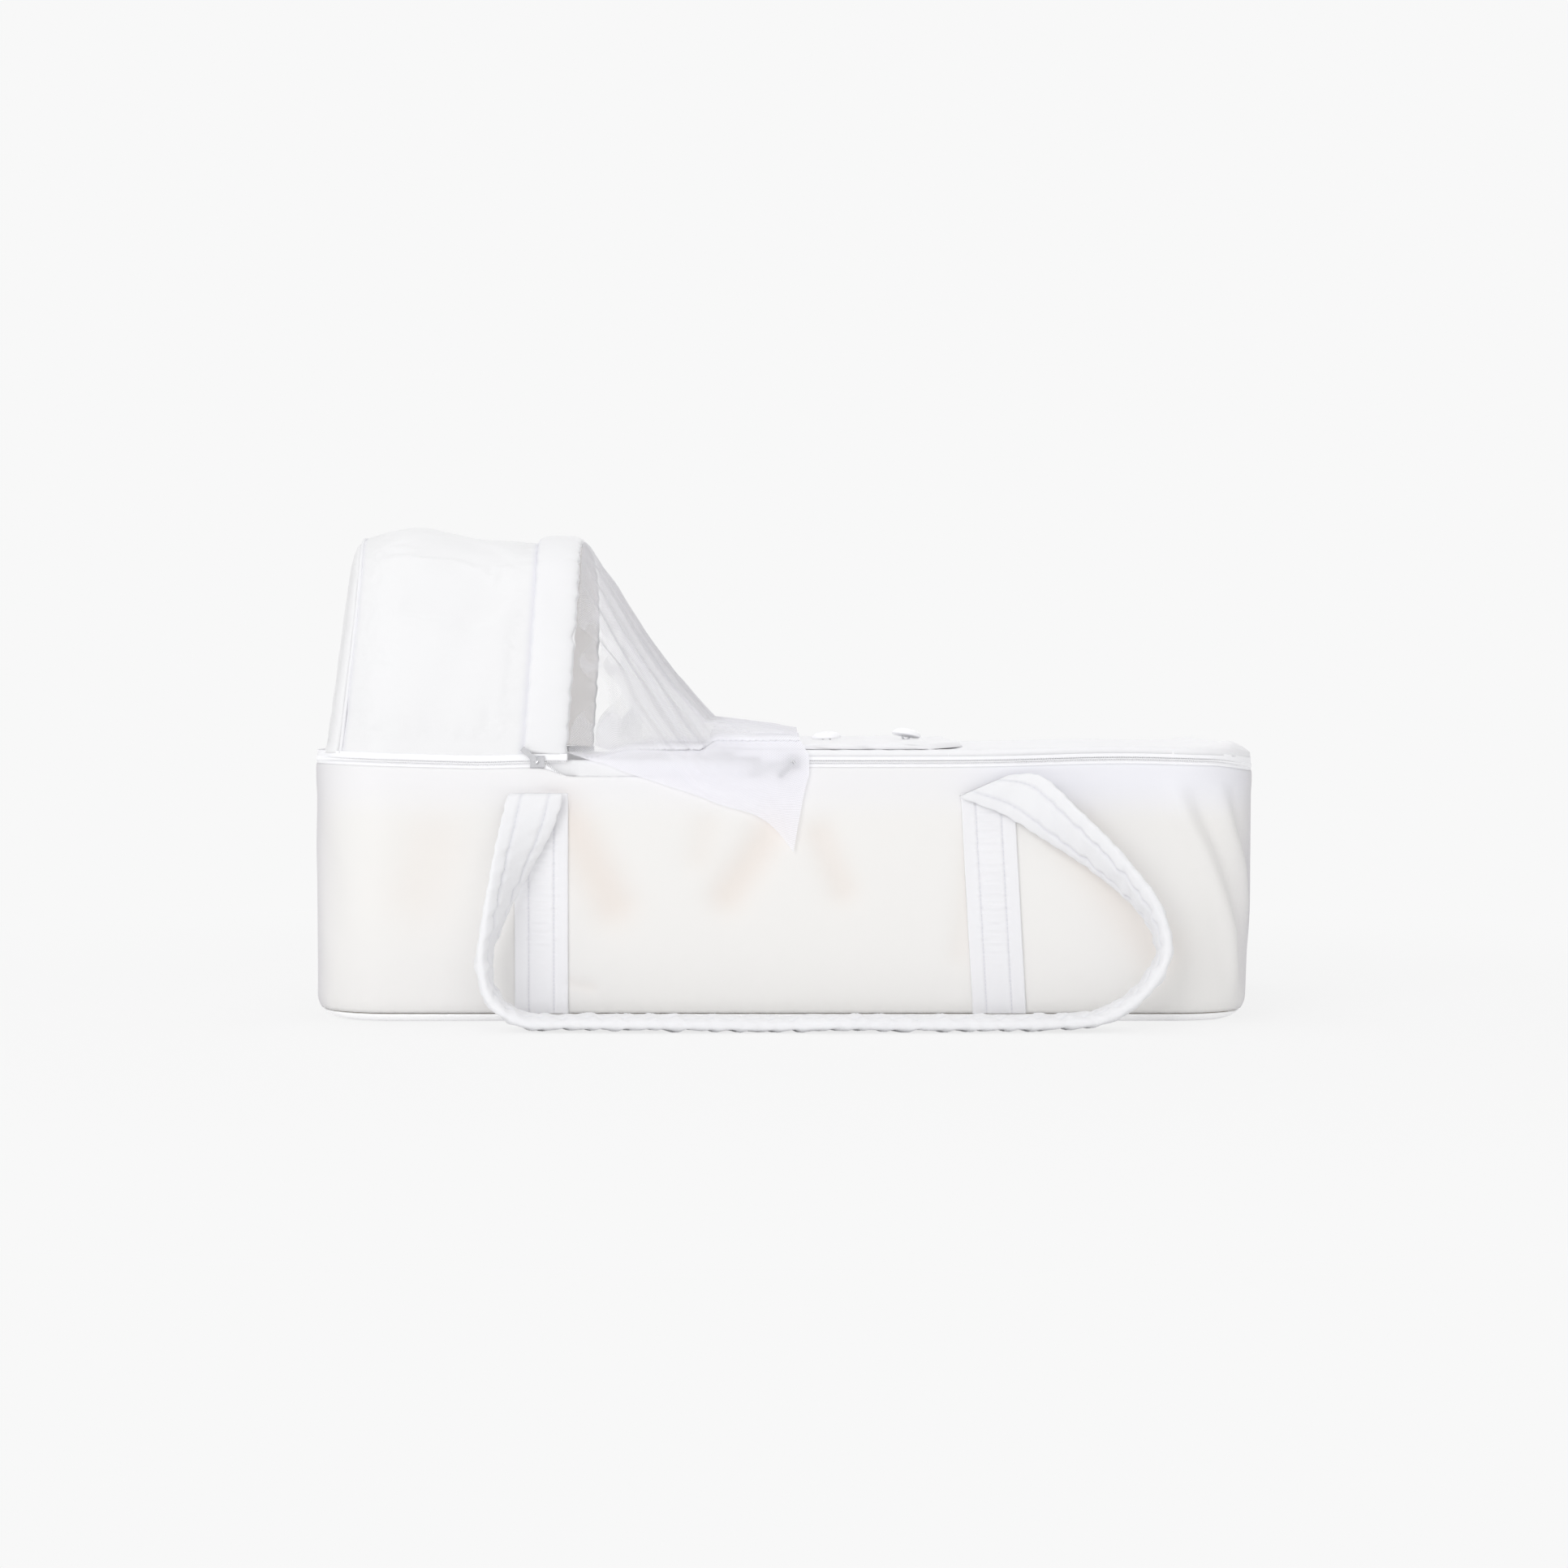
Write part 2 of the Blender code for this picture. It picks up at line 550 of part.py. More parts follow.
def make_net():
    """Tulle net: gathered on the hood's front, bent over the apron's fold, with a corner down each side."""
    rows, columns = 17, 33
    across = np.linspace(0, 1, columns)
    start = hood_arch(HOOD_FRONT_X, BAND_INSET, columns)
    start[:, 0] += SEAT + NET_THICKNESS
    side = HALF_WIDTH
    over_fold = FOLD_AXIS_Z + FOLD_RADIUS + 3 * MM
    over_flap = over_fold - 7.5 * MM
    shares = np.array([0.0, 0.12, 0.2, 0.34, 0.5])
    fold_keys = np.array([(-side - 8 * MM, NET_SIDE_HEIGHT), (-side - 5 * MM, RIM_TOP + 6 * MM),
                          (-side + 2 * MM, over_fold - 1 * MM), (-0.55 * side, over_fold), (0.0, over_fold)])
    hem_keys = np.array([(-side - 12 * MM, NET_TIP_HEIGHT), (-side - 9 * MM, RIM_TOP - 14 * MM),
                         (-side + 3 * MM, over_flap), (-0.55 * side, over_flap), (0.0, over_flap)])
    near = np.minimum(across, 1 - across)
    sides = np.where(across < 0.5, 1.0, -1.0)
    fold, hem = [blend_points(keys, shares, near) for keys in (fold_keys, hem_keys)]
    fold_x = APRON_FRONT_X - 4 * MM
    fold_line = np.column_stack([np.full(columns, fold_x), fold[:, 0] * sides, fold[:, 1]])
    slant = NET_TIP_SLANT * np.clip(1 - near / shares[1], 0, 1)
    hem_line = np.column_stack([NET_HEM_X - slant, hem[:, 0] * sides, hem[:, 1]])
    share = np.linspace(0, 1, rows)[:, None, None]
    first = np.clip(share / NET_FOLD_SHARE, 0, 1)
    second = np.clip((share - NET_FOLD_SHARE) / (1 - NET_FOLD_SHARE), 0, 1)
    surface = start + (fold_line - start) * first + (hem_line - fold_line) * second
    wave = np.sin(across * np.pi * 2 * NET_FOLDS) * np.sin(np.pi * first[:, :, 0])
    surface[:, :, 0] += NET_FOLD_DEPTH * wave
    over_bed = np.abs(surface[:, :, 1]) < side + 1.5 * MM
    surface[:, :, 2] = np.where(over_bed, np.maximum(surface[:, :, 2], RIM_TOP + 2 * MM), surface[:, :, 2])
    top = surface + sheet_normals(surface) * NET_THICKNESS
    return sheet_solid("mosquito_net", top, surface, "tulle", 80)


def sheet_normals(surface):
    """Unit normals of a grid of points."""
    du = np.gradient(surface, axis=0)
    dv = np.gradient(surface, axis=1)
    normal = np.cross(du, dv)
    normal /= np.linalg.norm(normal, axis=2)[:, :, None]
    return normal if normal[len(normal) // 2, normal.shape[1] // 2, 2] > 0 else -normal


def apron_half_width(x):
    reach = CORNER_RADIUS + TAPE_OUT
    past = np.clip(x - CORNER_X, 0.0, reach)
    return CORNER_Y + np.sqrt(np.maximum(reach ** 2 - past ** 2, 0.0))


def apron_height(x, share):
    """Height of the apron's top: rolled edges, a low crown and a fuller stretch near the foot end."""
    end_x = HALF_LENGTH + TAPE_OUT
    edge = (1 - np.abs(share) ** 9) * (1 - np.clip(1 - (end_x - x) / (40 * MM), 0, 1) ** 3)
    crown = APRON_CROWN * (1 - np.abs(share) ** 2.5)
    full = APRON_FOOT_CROWN * np.exp(-((x - end_x + 38 * MM) / (34 * MM)) ** 2)
    return SHELL_BASE + APRON_EDGE + (APRON_THICKNESS - APRON_EDGE + crown + full) * edge


def apron_shares():
    """Stations across the apron as shares of its half width, closer together at the rolled edges."""
    half = np.array([0.45, 0.7, 0.85, 0.92, 0.96, 0.985, 1.0])
    return np.concatenate([-half[::-1], [0.0], half])


def make_apron():
    """Padded apron zipped round the foot end."""
    shares = apron_shares()
    start = APRON_FRONT_X + 2 * FOLD_RADIUS + SEAT
    bend = CORNER_RADIUS * np.sin(np.linspace(0, np.pi / 2, 8))
    stations = np.concatenate([np.linspace(start, CORNER_X, 7)[:-1], CORNER_X + bend * 0.988])
    x = np.repeat(stations[:, None], len(shares), axis=1)
    y = apron_half_width(x) * shares
    top_z = apron_height(x, shares)
    top = np.stack([x, y, top_z], axis=2)
    low_z = np.maximum(top_z - APRON_THICKNESS, SHELL_BASE)
    bottom = np.stack([x, y, low_z], axis=2)
    sheet_solid("apron_panel", top, bottom, "cover_satin")


def flap_rows(y_share):
    """Side view of the turned-back flap at one station across: free edge, top, fold roll and underside."""
    end = APRON_FRONT_X + FLAP_LENGTH
    runs = (end - 30 * MM, end - 90 * MM, FOLD_AXIS_X + 52 * MM, FOLD_AXIS_X + 28 * MM)
    sag = 3 * MM * abs(y_share) ** 9
    points = [(end, apron_height(end, y_share) + SEAT + FLAP_THICKNESS * 0.35)]
    for x in (end - 3 * MM,) + runs:
        points.append((x, apron_height(x, y_share) + SEAT + FLAP_THICKNESS))
    for degrees in (76, 100, 135, 180, 225, 270, 305):
        angle = math.radians(degrees)
        z = FOLD_AXIS_Z + FOLD_RADIUS * math.sin(angle) - sag
        points.append((FOLD_AXIS_X + FOLD_RADIUS * math.cos(angle), z))
    for x in (FOLD_AXIS_X + FOLD_RADIUS + 1 * MM,) + runs[::-1] + (end,):
        points.append((x, apron_height(x, y_share) + SEAT))
    return points


def make_flap():
    """Front of the apron folded back on itself, with two covered buttons on its middle line."""
    half = apron_half_width(0.0)
    rings = [[(x, half * share, z) for x, z in flap_rows(share)] for share in apron_shares()[1:-1]]
    ring_solid("apron_flap", rings, "cover_satin", 60)


def make_button(index, x, tilt):
    """Fabric-covered cap on a bent wire shank, both leaning by the tilt about the top of the shank."""
    sides = 20
    bends = 9
    cap_profile = ((0.55, 0.0), (0.9, 0.1), (1.0, 0.3), (0.93, 0.52), (0.7, 0.76), (0.35, 0.92))
    lift = apron_height(x, 0.0) + 2 * SEAT + FLAP_THICKNESS + SHANK_RADIUS + SHANK_WIRE
    place = Matrix.Translation((x, 0, lift)) @ Matrix.Rotation(math.radians(-tilt), 4, "Y")
    circle = superellipse(BUTTON_DIAMETER / 2, BUTTON_DIAMETER / 2, 2, sides)
    cap = [[place @ Vector((a * share, b * share, SEAT + BUTTON_THICKNESS * height)) for a, b in circle]
           for share, height in cap_profile]
    ring_solid(f"button_cap_{index}", cap, "button_cover", 50)
    wire = superellipse(SHANK_WIRE, SHANK_WIRE, 2, 6)
    shank = []
    for angle in np.linspace(math.pi, 2 * math.pi, bends):
        spoke = Vector((math.cos(angle), 0, math.sin(angle)))
        shank.append([place @ (spoke * (SHANK_RADIUS + a) + Vector((0, b, 0))) for a, b in wire])
    ring_solid(f"button_shank_{index}", shank, "slider_metal", 60)


def make_strap(name, side, x_top, x_bottom):
    """Flat sewn strap: straight down the cover, then round its bottom edge to the seam."""
    low = BOTTOM_SEAM_HEIGHT + SEAT
    inner = edge_arc(BOTTOM_EDGE_RADIUS + SEAT, low, BOTTOM_EDGE_RADIUS, 4) + [(SEAT, STRAP_TOP)]
    outer = edge_arc(BOTTOM_EDGE_RADIUS + SEAT + STRAP_THICKNESS, low, BOTTOM_EDGE_RADIUS, 4)
    outer += [(SEAT + STRAP_THICKNESS, STRAP_TOP)]
    rings = []
    for across in (-STRAP_WIDTH / 2, STRAP_WIDTH / 2):
        ring = []
        for out, z in outer + inner[::-1]:
            x = x_bottom + (x_top - x_bottom) * z / STRAP_TOP + across
            ring.append((x, side * (HALF_WIDTH + out), z))
        rings.append(ring)
    ring_solid(name, rings, "strap_cotton")


# Handle stations: distance along the bed from its strap, gap between the wall and the ribbon's inner edge,
# share of the strap's height, slope of the width in the side view and twist, both in degrees.
HEAD_STATIONS = ((-4, 0, 1.0, 0, 0), (-9, 0.2, 0.89, -7, 18), (-23, 4, 0.67, -14, 52),
                 (-37, 8, 0.44, -12, 76), (-44, 13, 0.25, 0, 88), (-36, 18, 0.10, 38, 90),
                 (-10, 21, 0.008, 76, 90), (36, 22, 0.0, 90, 90))
FOOT_STATIONS = ((36, 22, 0.0, 90, 90), (92, 21, 0.02, 104, 90), (132, 18, 0.13, 140, 90),
                 (148, 13, 0.31, 180, 88), (136, 8, 0.475, 204, 76), (110, 4, 0.64, 222, 62),
                 (67, 2, 0.845, 231, 38), (30, 0.2, 0.985, 224, 12), (3, 0, 1.035, 203, 0))


def handle_route():
    """Centre line, width slope and twist of one padded handle, smooth through its stations."""
    floor = (HANDLE_THICKNESS + HANDLE_UNIT) / 2
    seat = STRAP_THICKNESS + 2.3 * SEAT + HANDLE_ROOT_THICKNESS / 2
    keys = []
    for strap_x, stations in ((HEAD_STRAP_X, HEAD_STATIONS), (FOOT_STRAP_X, FOOT_STATIONS)):
        for along, gap, share, slope, twist in stations:
            out = seat + gap * HANDLE_UNIT + HANDLE_WIDTH / 2 * math.sin(math.radians(twist))
            place_x = strap_x + along * HANDLE_UNIT
            keys.append((place_x, out, floor + share * (STRAP_TOP - floor), slope, twist))
    keys = np.array(keys)
    steps = np.linalg.norm(np.diff(keys[:, :3], axis=0), axis=1)
    places = np.concatenate([[0.0], np.cumsum(steps)])
    places /= places[-1]
    flat_from, flat_to = 0.36, 0.6
    values = np.concatenate([np.linspace(0, flat_from, 19)[:-1], np.linspace(flat_from, flat_to, 7)[:-1],
                             np.linspace(flat_to, 1, 23)])
    route = blend_points(keys, places, values)
    route[:, 2] = np.maximum(route[:, 2], floor)
    return route, values


def make_handle(name, side):
    """Padded ribbon sewn to both straps: face outward at its ends, flat on the ground along its middle."""
    route, places = handle_route()
    centre = np.column_stack([route[:, 0], side * (HALF_WIDTH + route[:, 1]), route[:, 2]])
    tangent = np.gradient(centre, axis=0)
    tangent /= np.linalg.norm(tangent, axis=1)[:, None]
    slope, twist = np.radians(route[:, 3]), np.radians(np.clip(route[:, 4], 0, 90))
    in_wall = np.cos(twist)
    wide = np.stack([in_wall * np.cos(slope), -side * np.sin(twist), in_wall * np.sin(slope)], axis=1)
    thick = np.cross(tangent, wide)
    thick /= np.linalg.norm(thick, axis=1)[:, None]
    near_end = smooth(np.minimum(places, 1 - places) / 0.14)
    half_thick = (HANDLE_ROOT_THICKNESS + (HANDLE_THICKNESS - HANDLE_ROOT_THICKNESS) * near_end) / 2
    profile = superellipse(HANDLE_WIDTH / 2, 1.0, 2.6, 12)
    rings = [[c + w * a + n * (b * h) for a, b in profile]
             for c, w, n, h in zip(centre, wide, thick, half_thick)]
    ring_solid(name, rings, "quilted_cotton", 60)


def box_mesh(name, low, high):
    work = bmesh.new()
    bmesh.ops.create_cube(work, size=1.0)
    low, high = Vector(low), Vector(high)
    size = high - low
    bmesh.ops.scale(work, vec=size, verts=work.verts)
    bmesh.ops.translate(work, vec=(low + high) / 2, verts=work.verts)
    mesh = bpy.data.meshes.new(name)
    work.to_mesh(mesh)
    work.free()
    return mesh


def rod_mesh(name, radius, length, sides=12):
    """A rod along Z, centred on the origin."""
    work = bmesh.new()
    bmesh.ops.create_cone(work, cap_ends=True, segments=sides, radius1=radius, radius2=radius, depth=length)
    mesh = bpy.data.meshes.new(name)
    work.to_mesh(mesh)
    work.free()
    return mesh


def combine(name, mesh, others, colour):
    """A mesh joined with or cut by others in turn, each given as mesh, placement and operation."""
    item = bpy.data.objects.new(name, mesh)
    item.data.materials.append(material(colour))
    bpy.context.scene.collection.objects.link(item)
    for k, (other, place, operation) in enumerate(others):
        tool = bpy.data.objects.new(f"{name}_tool_{k}", other)
        tool.parent = item
        tool.matrix_local = place
        tool.hide_render = True
        tool.display_type = "WIRE"
        bpy.context.scene.collection.objects.link(tool)
        step = item.modifiers.new(f"{operation.lower()}_{k}", "BOOLEAN")
        step.operation = operation
        step.object = tool
        step.solver = "EXACT"
    return item


def slider_frame(side, x, angle):
    """Placement of a slider's pull: Z along its pivot, X along the tab, Y outward from the wall."""
    turn = math.radians(angle)
    tab = Vector((math.cos(turn), 0, math.sin(turn)))
    out = Vector((0, side, 0))
    pivot = tab.cross(out)
    height = CHAIN_OUT + SEAT + SLIDER_PLATE + EYE_RADIUS + SEAT
    place = Matrix((tab, out, pivot)).transposed().to_4x4()
    place.translation = Vector((x, side * (HALF_WIDTH + height), CHAIN_Z))
    return place


def make_slider(name, side, x, angle):
    """Zip slider: two plates joined by a web between the chains, with two ears and a pin for its pull."""
    front = CHAIN_OUT + SEAT
    back = CHAIN_IN - SEAT
    half = SLIDER_WIDTH / 2
    web = SLIDER_WEB / 2
    profile = [(front, web), (front, half), (front + SLIDER_PLATE, half - 1 * MM),
               (front + SLIDER_PLATE, -half + 1 * MM), (front, -half), (front, -web),
               (back, -web), (back, -half), (back - SLIDER_PLATE, -half), (back - SLIDER_PLATE, half),
               (back, half), (back, web)]
    ends = (x - SLIDER_LENGTH / 2, x + SLIDER_LENGTH / 2)
    rings = [[(at, side * (HALF_WIDTH + out), CHAIN_Z + up) for out, up in profile] for at in ends]
    body = ring_solid(name + "_body", rings, "slider_metal")
    mesh = body.data
    bpy.data.objects.remove(body, do_unlink=True)
    place = slider_frame(side, x, angle)
    ear_gap = EYE_WIDTH / 2 + SEAT
    foot = -EYE_RADIUS - SEAT - 0.4 * MM
    parts = [(rod_mesh(name + "_pin", PIN_RADIUS, 2 * ear_gap + EAR_THICKNESS), place, "UNION")]
    for low in (-ear_gap - EAR_THICKNESS, ear_gap):
        corner = (EAR_WIDTH / 2, EAR_RISE, low + EAR_THICKNESS)
        parts.append((box_mesh(name + "_ear", (-EAR_WIDTH / 2, foot, low), corner), place, "UNION"))
    return combine(name, mesh, parts, "slider_metal")


def make_pull(name, side, x, angle):
    """Pull tab: a round eye on the slider's pin and a flat tab, widened past the ears."""
    neck = EYE_WIDTH / 2 - 0.1 * MM
    arm_from, tab_from = 0.9 * MM, 2.2 * MM
    thick = TAB_THICKNESS / 2
    arm_thick = thick - 0.05 * MM
    eye = rod_mesh(name + "_eye", EYE_RADIUS, EYE_WIDTH)
    arm = box_mesh(name + "_arm", (arm_from, -arm_thick, -neck), (tab_from + 1 * MM, arm_thick, neck))
    tab = box_mesh(name + "_tab", (tab_from, -thick, -TAB_WIDTH / 2), (TAB_LENGTH, thick, TAB_WIDTH / 2))
    hole = rod_mesh(name + "_hole", PIN_RADIUS + SEAT, EYE_WIDTH * 2)
    still = Matrix()
    others = [(arm, still, "UNION"), (tab, still, "UNION"), (hole, still, "DIFFERENCE")]
    item = combine(name, eye, others, "slider_metal")
    item.matrix_world = slider_frame(side, x, angle)
    return item


def carry(name, point, pieces):
    """An empty on a joint's axis that carries the pieces moving about it, none of which shifts."""
    empty = bpy.data.objects.new(name, None)
    empty.location = point
    bpy.context.scene.collection.objects.link(empty)
    for piece in pieces:
        piece.parent = empty
        piece.matrix_parent_inverse = Matrix.Translation(point).inverted()
    return empty


def named(*names):
    return [bpy.data.objects[name] for name in names]


def make_joints():
    """Joint empties: net on hood, flap and buttons on apron, each handle loop on its own line."""
    net_top = SHELL_BASE + hood_top(HOOD_FRONT_X) - BAND_INSET
    net = carry("net_pivot", (HOOD_FRONT_X + HOOD_MIDDLE_LEAN, 0, net_top), named("mosquito_net"))
    hood = named("hood_canopy", "hood_lining", "hood_rear_panel", "hood_rear_piping", "hood_front_band",
                 "hood_bow", "hood_zip_upper", "net_band")
    carry("hood_pivot", (-HALF_LENGTH - HINGE_OUT, 0, CHAIN_Z), hood + [net])
    buttons = named("button_cap_1", "button_cap_2", "button_shank_1", "button_shank_2")
    flap = carry("flap_pivot", (FOLD_AXIS_X, 0, FOLD_AXIS_Z), named("apron_flap") + buttons)
    apron = named("apron_panel", "apron_zip_upper")
    carry("apron_pivot", (HALF_LENGTH + HINGE_OUT, 0, CHAIN_Z), apron + [flap])
    for word, side in (("near", -1), ("far", 1)):
        line = (0, side * (HALF_WIDTH + HANDLE_PIVOT_OUT), HANDLE_PIVOT_Z)
        carry(f"{word}_handle_pivot", line, named(f"{word}_handle"))


def main():
    clear_scene()
    board_top = make_base()
    floor = make_walls(board_top)
    make_mattress(floor)
    make_rim()
    make_zips()
    make_hood()
    make_apron()
    make_flap()
    make_net()
    for index, (x, tilt) in enumerate(zip(BUTTON_X, BUTTON_TILT), start=1):
        make_button(index, x, tilt)
    sliders = (("hood", HOOD_SLIDER_X, HOOD_TAB_ANGLE), ("apron", APRON_SLIDER_X, APRON_TAB_ANGLE))
    for word, side in (("near", -1), ("far", 1)):
        make_strap(f"{word}_head_strap", side, HEAD_STRAP_X, HEAD_STRAP_X)
        make_strap(f"{word}_foot_strap", side, FOOT_STRAP_X, FOOT_STRAP_X + FOOT_STRAP_LEAN)
        make_handle(f"{word}_handle", side)
        for zip_name, x, angle in sliders:
            slider = make_slider(f"{word}_{zip_name}_slider", side, x, angle)
            pull = make_pull(f"{word}_{zip_name}_pull", side, x, angle)
            carry(f"{word}_{zip_name}_slide", (x, side * HALF_WIDTH, CHAIN_Z), [slider, pull])
    make_joints()


main()
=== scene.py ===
"""Looks of the portable baby bed: a white soft carrier with a hood, a tulle net, an apron and padded handles.

Metres, +Z up. +X is the foot end and -Y the near side. A distance "out" is measured from the wall line,
which runs round the bed along its outer faces, and "along" is the way round it from the near side's middle.
"""

import math

import bpy
import numpy as np
from mathutils import Matrix, Vector


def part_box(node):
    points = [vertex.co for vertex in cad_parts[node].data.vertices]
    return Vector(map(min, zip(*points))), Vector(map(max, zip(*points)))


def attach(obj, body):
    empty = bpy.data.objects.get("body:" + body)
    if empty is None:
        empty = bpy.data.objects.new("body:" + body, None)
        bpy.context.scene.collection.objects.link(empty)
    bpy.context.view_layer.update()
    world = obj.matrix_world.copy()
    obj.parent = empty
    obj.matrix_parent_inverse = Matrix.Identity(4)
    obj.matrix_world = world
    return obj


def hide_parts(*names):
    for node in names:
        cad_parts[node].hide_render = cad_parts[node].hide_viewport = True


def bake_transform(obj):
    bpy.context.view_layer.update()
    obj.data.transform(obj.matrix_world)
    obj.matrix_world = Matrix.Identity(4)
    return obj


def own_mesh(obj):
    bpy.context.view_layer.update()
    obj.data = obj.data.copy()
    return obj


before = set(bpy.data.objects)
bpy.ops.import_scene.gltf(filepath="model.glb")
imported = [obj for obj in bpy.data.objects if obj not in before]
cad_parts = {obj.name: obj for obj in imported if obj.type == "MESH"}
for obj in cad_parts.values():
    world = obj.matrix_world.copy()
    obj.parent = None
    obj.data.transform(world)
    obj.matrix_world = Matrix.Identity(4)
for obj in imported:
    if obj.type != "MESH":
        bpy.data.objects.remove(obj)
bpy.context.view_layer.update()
MM = 0.001

# Camera and studio
# The photograph looks at the near side squarely, from a little over the rim, through a long lens.
# A pale floor and a plain white surround light the bed from all round, with soft lamps in front and above.

IMAGE_PIXELS = 1932
MM_PER_PIXEL = 0.678
VIEW_MIDDLE_Z = 0.2007
CAMERA_DISTANCE = 2.6
CAMERA_HEIGHT = 0.28
SENSOR = 36.0
near_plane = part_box("side_cover")[0].y
frame_width = IMAGE_PIXELS * MM_PER_PIXEL * MM


def add_object(name, data, place=(0.0, 0.0, 0.0), target=None):
    """An object in the scene, at a place and turned to a target where one is given."""
    made = bpy.data.objects.new(name, data)
    bpy.context.scene.collection.objects.link(made)
    made.location = place
    if target is not None:
        made.rotation_euler = (Vector(target) - made.location).to_track_quat("-Z", "Y").to_euler()
    return made


camera_data = bpy.data.cameras.new("studio_camera")
camera_data.sensor_width = SENSOR
camera_data.lens = SENSOR * CAMERA_DISTANCE / frame_width
bpy.context.scene.camera = add_object("studio_camera", camera_data, (0.0, near_plane - CAMERA_DISTANCE, CAMERA_HEIGHT),
                                      (0.0, near_plane, VIEW_MIDDLE_Z))
bpy.context.scene.view_settings.view_transform = "Standard"

WHITE = (1.0, 1.0, 1.0)
BACKGROUND = (0.939, 0.939, 0.939, 1.0)
SURROUND_LIGHT = 0.68


def wire(tree, *pairs):
    """Links sockets in a node tree, each pair given as (output, input)."""
    for output, target in pairs:
        tree.links.new(output, target)


def add_node(tree, kind, inputs=None, **settings):
    """A shader node, with its settings and some of its inputs given values."""
    node = tree.nodes.new("ShaderNode" + kind)
    for label, value in settings.items():
        setattr(node, label, value)
    for label, value in (inputs or {}).items():
        node.inputs[label].default_value = value
    return node


def feed(tree, value, socket):
    """Sets a socket to a number or a colour, or links another socket to it."""
    if isinstance(value, tuple):
        socket.default_value = (*value, 1.0)
    elif isinstance(value, (int, float)):
        socket.default_value = value
    else:
        tree.links.new(value, socket)


def maths(tree, operation, first, second=None):
    """A Math node's output, from sockets or plain numbers."""
    node = add_node(tree, "Math", operation=operation)
    feed(tree, first, node.inputs[0])
    if second is not None:
        feed(tree, second, node.inputs[1])
    return node.outputs[0]


def seen_directly(tree):
    """A value of 1 for rays that show the surround itself: straight, mirrored or through see-through cloth."""
    path = add_node(tree, "LightPath").outputs
    straight = maths(tree, "MAXIMUM", path["Is Camera Ray"], path["Is Glossy Ray"])
    return maths(tree, "MAXIMUM", straight, path["Is Transmission Ray"])


def new_material(name):
    """A material with its node tree and its Principled shader."""
    made = bpy.data.materials.new(name)
    made.use_nodes = True
    return made, made.node_tree, made.node_tree.nodes["Principled BSDF"]


world = bpy.data.worlds.new("white_surround")
bpy.context.scene.world = world
world.use_nodes = True
tree = world.node_tree
tree.nodes.clear()
ambient = add_node(tree, "Background", {"Color": (*WHITE, 1.0), "Strength": SURROUND_LIGHT})
shown = add_node(tree, "Background", {"Color": BACKGROUND, "Strength": 1.0})
either = add_node(tree, "MixShader")
wire(tree, (seen_directly(tree), either.inputs[0]), (ambient.outputs[0], either.inputs[1]),
     (shown.outputs[0], either.inputs[2]), (either.outputs[0], add_node(tree, "OutputWorld").inputs[0]))

FLOOR_HALF = 9.0
FLOOR_DROP = 0.0006
FLOOR_WHITE = (0.95, 0.95, 0.95, 1.0)
GLOW_FROM, GLOW_TO, GLOW_NEAR = 0.45, 1.3, 0.82
floor_mesh = bpy.data.meshes.new("studio_floor")
corners = [(-FLOOR_HALF, -FLOOR_HALF), (FLOOR_HALF, -FLOOR_HALF), (FLOOR_HALF, FLOOR_HALF), (-FLOOR_HALF, FLOOR_HALF)]
floor_mesh.from_pydata([(x, y, -FLOOR_DROP) for x, y in corners], [], [(0, 1, 2, 3)])
floor = add_object("studio_floor", floor_mesh)
floor_paint, tree, _ = new_material("studio_floor")
tree.nodes.clear()
matt = add_node(tree, "BsdfDiffuse", {"Color": FLOOR_WHITE})
glow = add_node(tree, "Emission", {"Color": BACKGROUND})
lit = add_node(tree, "MixShader")
distance = add_node(tree, "VectorMath", operation="LENGTH")
fade = add_node(tree, "MapRange", {"From Min": GLOW_FROM, "From Max": GLOW_TO, "To Min": GLOW_NEAR, "To Max": 1.0},
                interpolation_type="SMOOTHSTEP")
wire(tree, (add_node(tree, "TexCoord").outputs["Object"], distance.inputs[0]),
     (distance.outputs["Value"], fade.inputs["Value"]),
     (maths(tree, "MULTIPLY", seen_directly(tree), fade.outputs["Result"]), lit.inputs[0]),
     (matt.outputs[0], lit.inputs[1]), (glow.outputs[0], lit.inputs[2]),
     (lit.outputs[0], add_node(tree, "OutputMaterial").inputs[0]))
floor_mesh.materials.append(floor_paint)


def studio_lamp(name, place, target, size, power):
    """A square softbox at a place, turned to a target."""
    data = bpy.data.lights.new(name, "AREA")
    data.size = size
    data.energy = power
    add_object(name, data, place, target)


studio_lamp("key_softbox", (-1.5, -3.0, 1.4), (-0.1, 0.0, 0.2), 1.8, 28)
studio_lamp("fill_softbox", (0.7, -3.4, 0.8), (0.0, 0.0, 0.2), 1.6, 8)
studio_lamp("top_softbox", (-0.3, 0.2, 2.6), (0.0, 0.0, 0.2), 1.8, 11)
studio_lamp("rear_softbox", (0.8, 2.8, 1.6), (0.0, 0.0, 0.2), 1.6, 6)

# Outer side cover
# One band of smooth white sateen drawn over the foam walls. It is sewn to the underside, to the zips and
# to the padded rim, so it puckers at the seams, dips between the straps and creases at the foot corner.

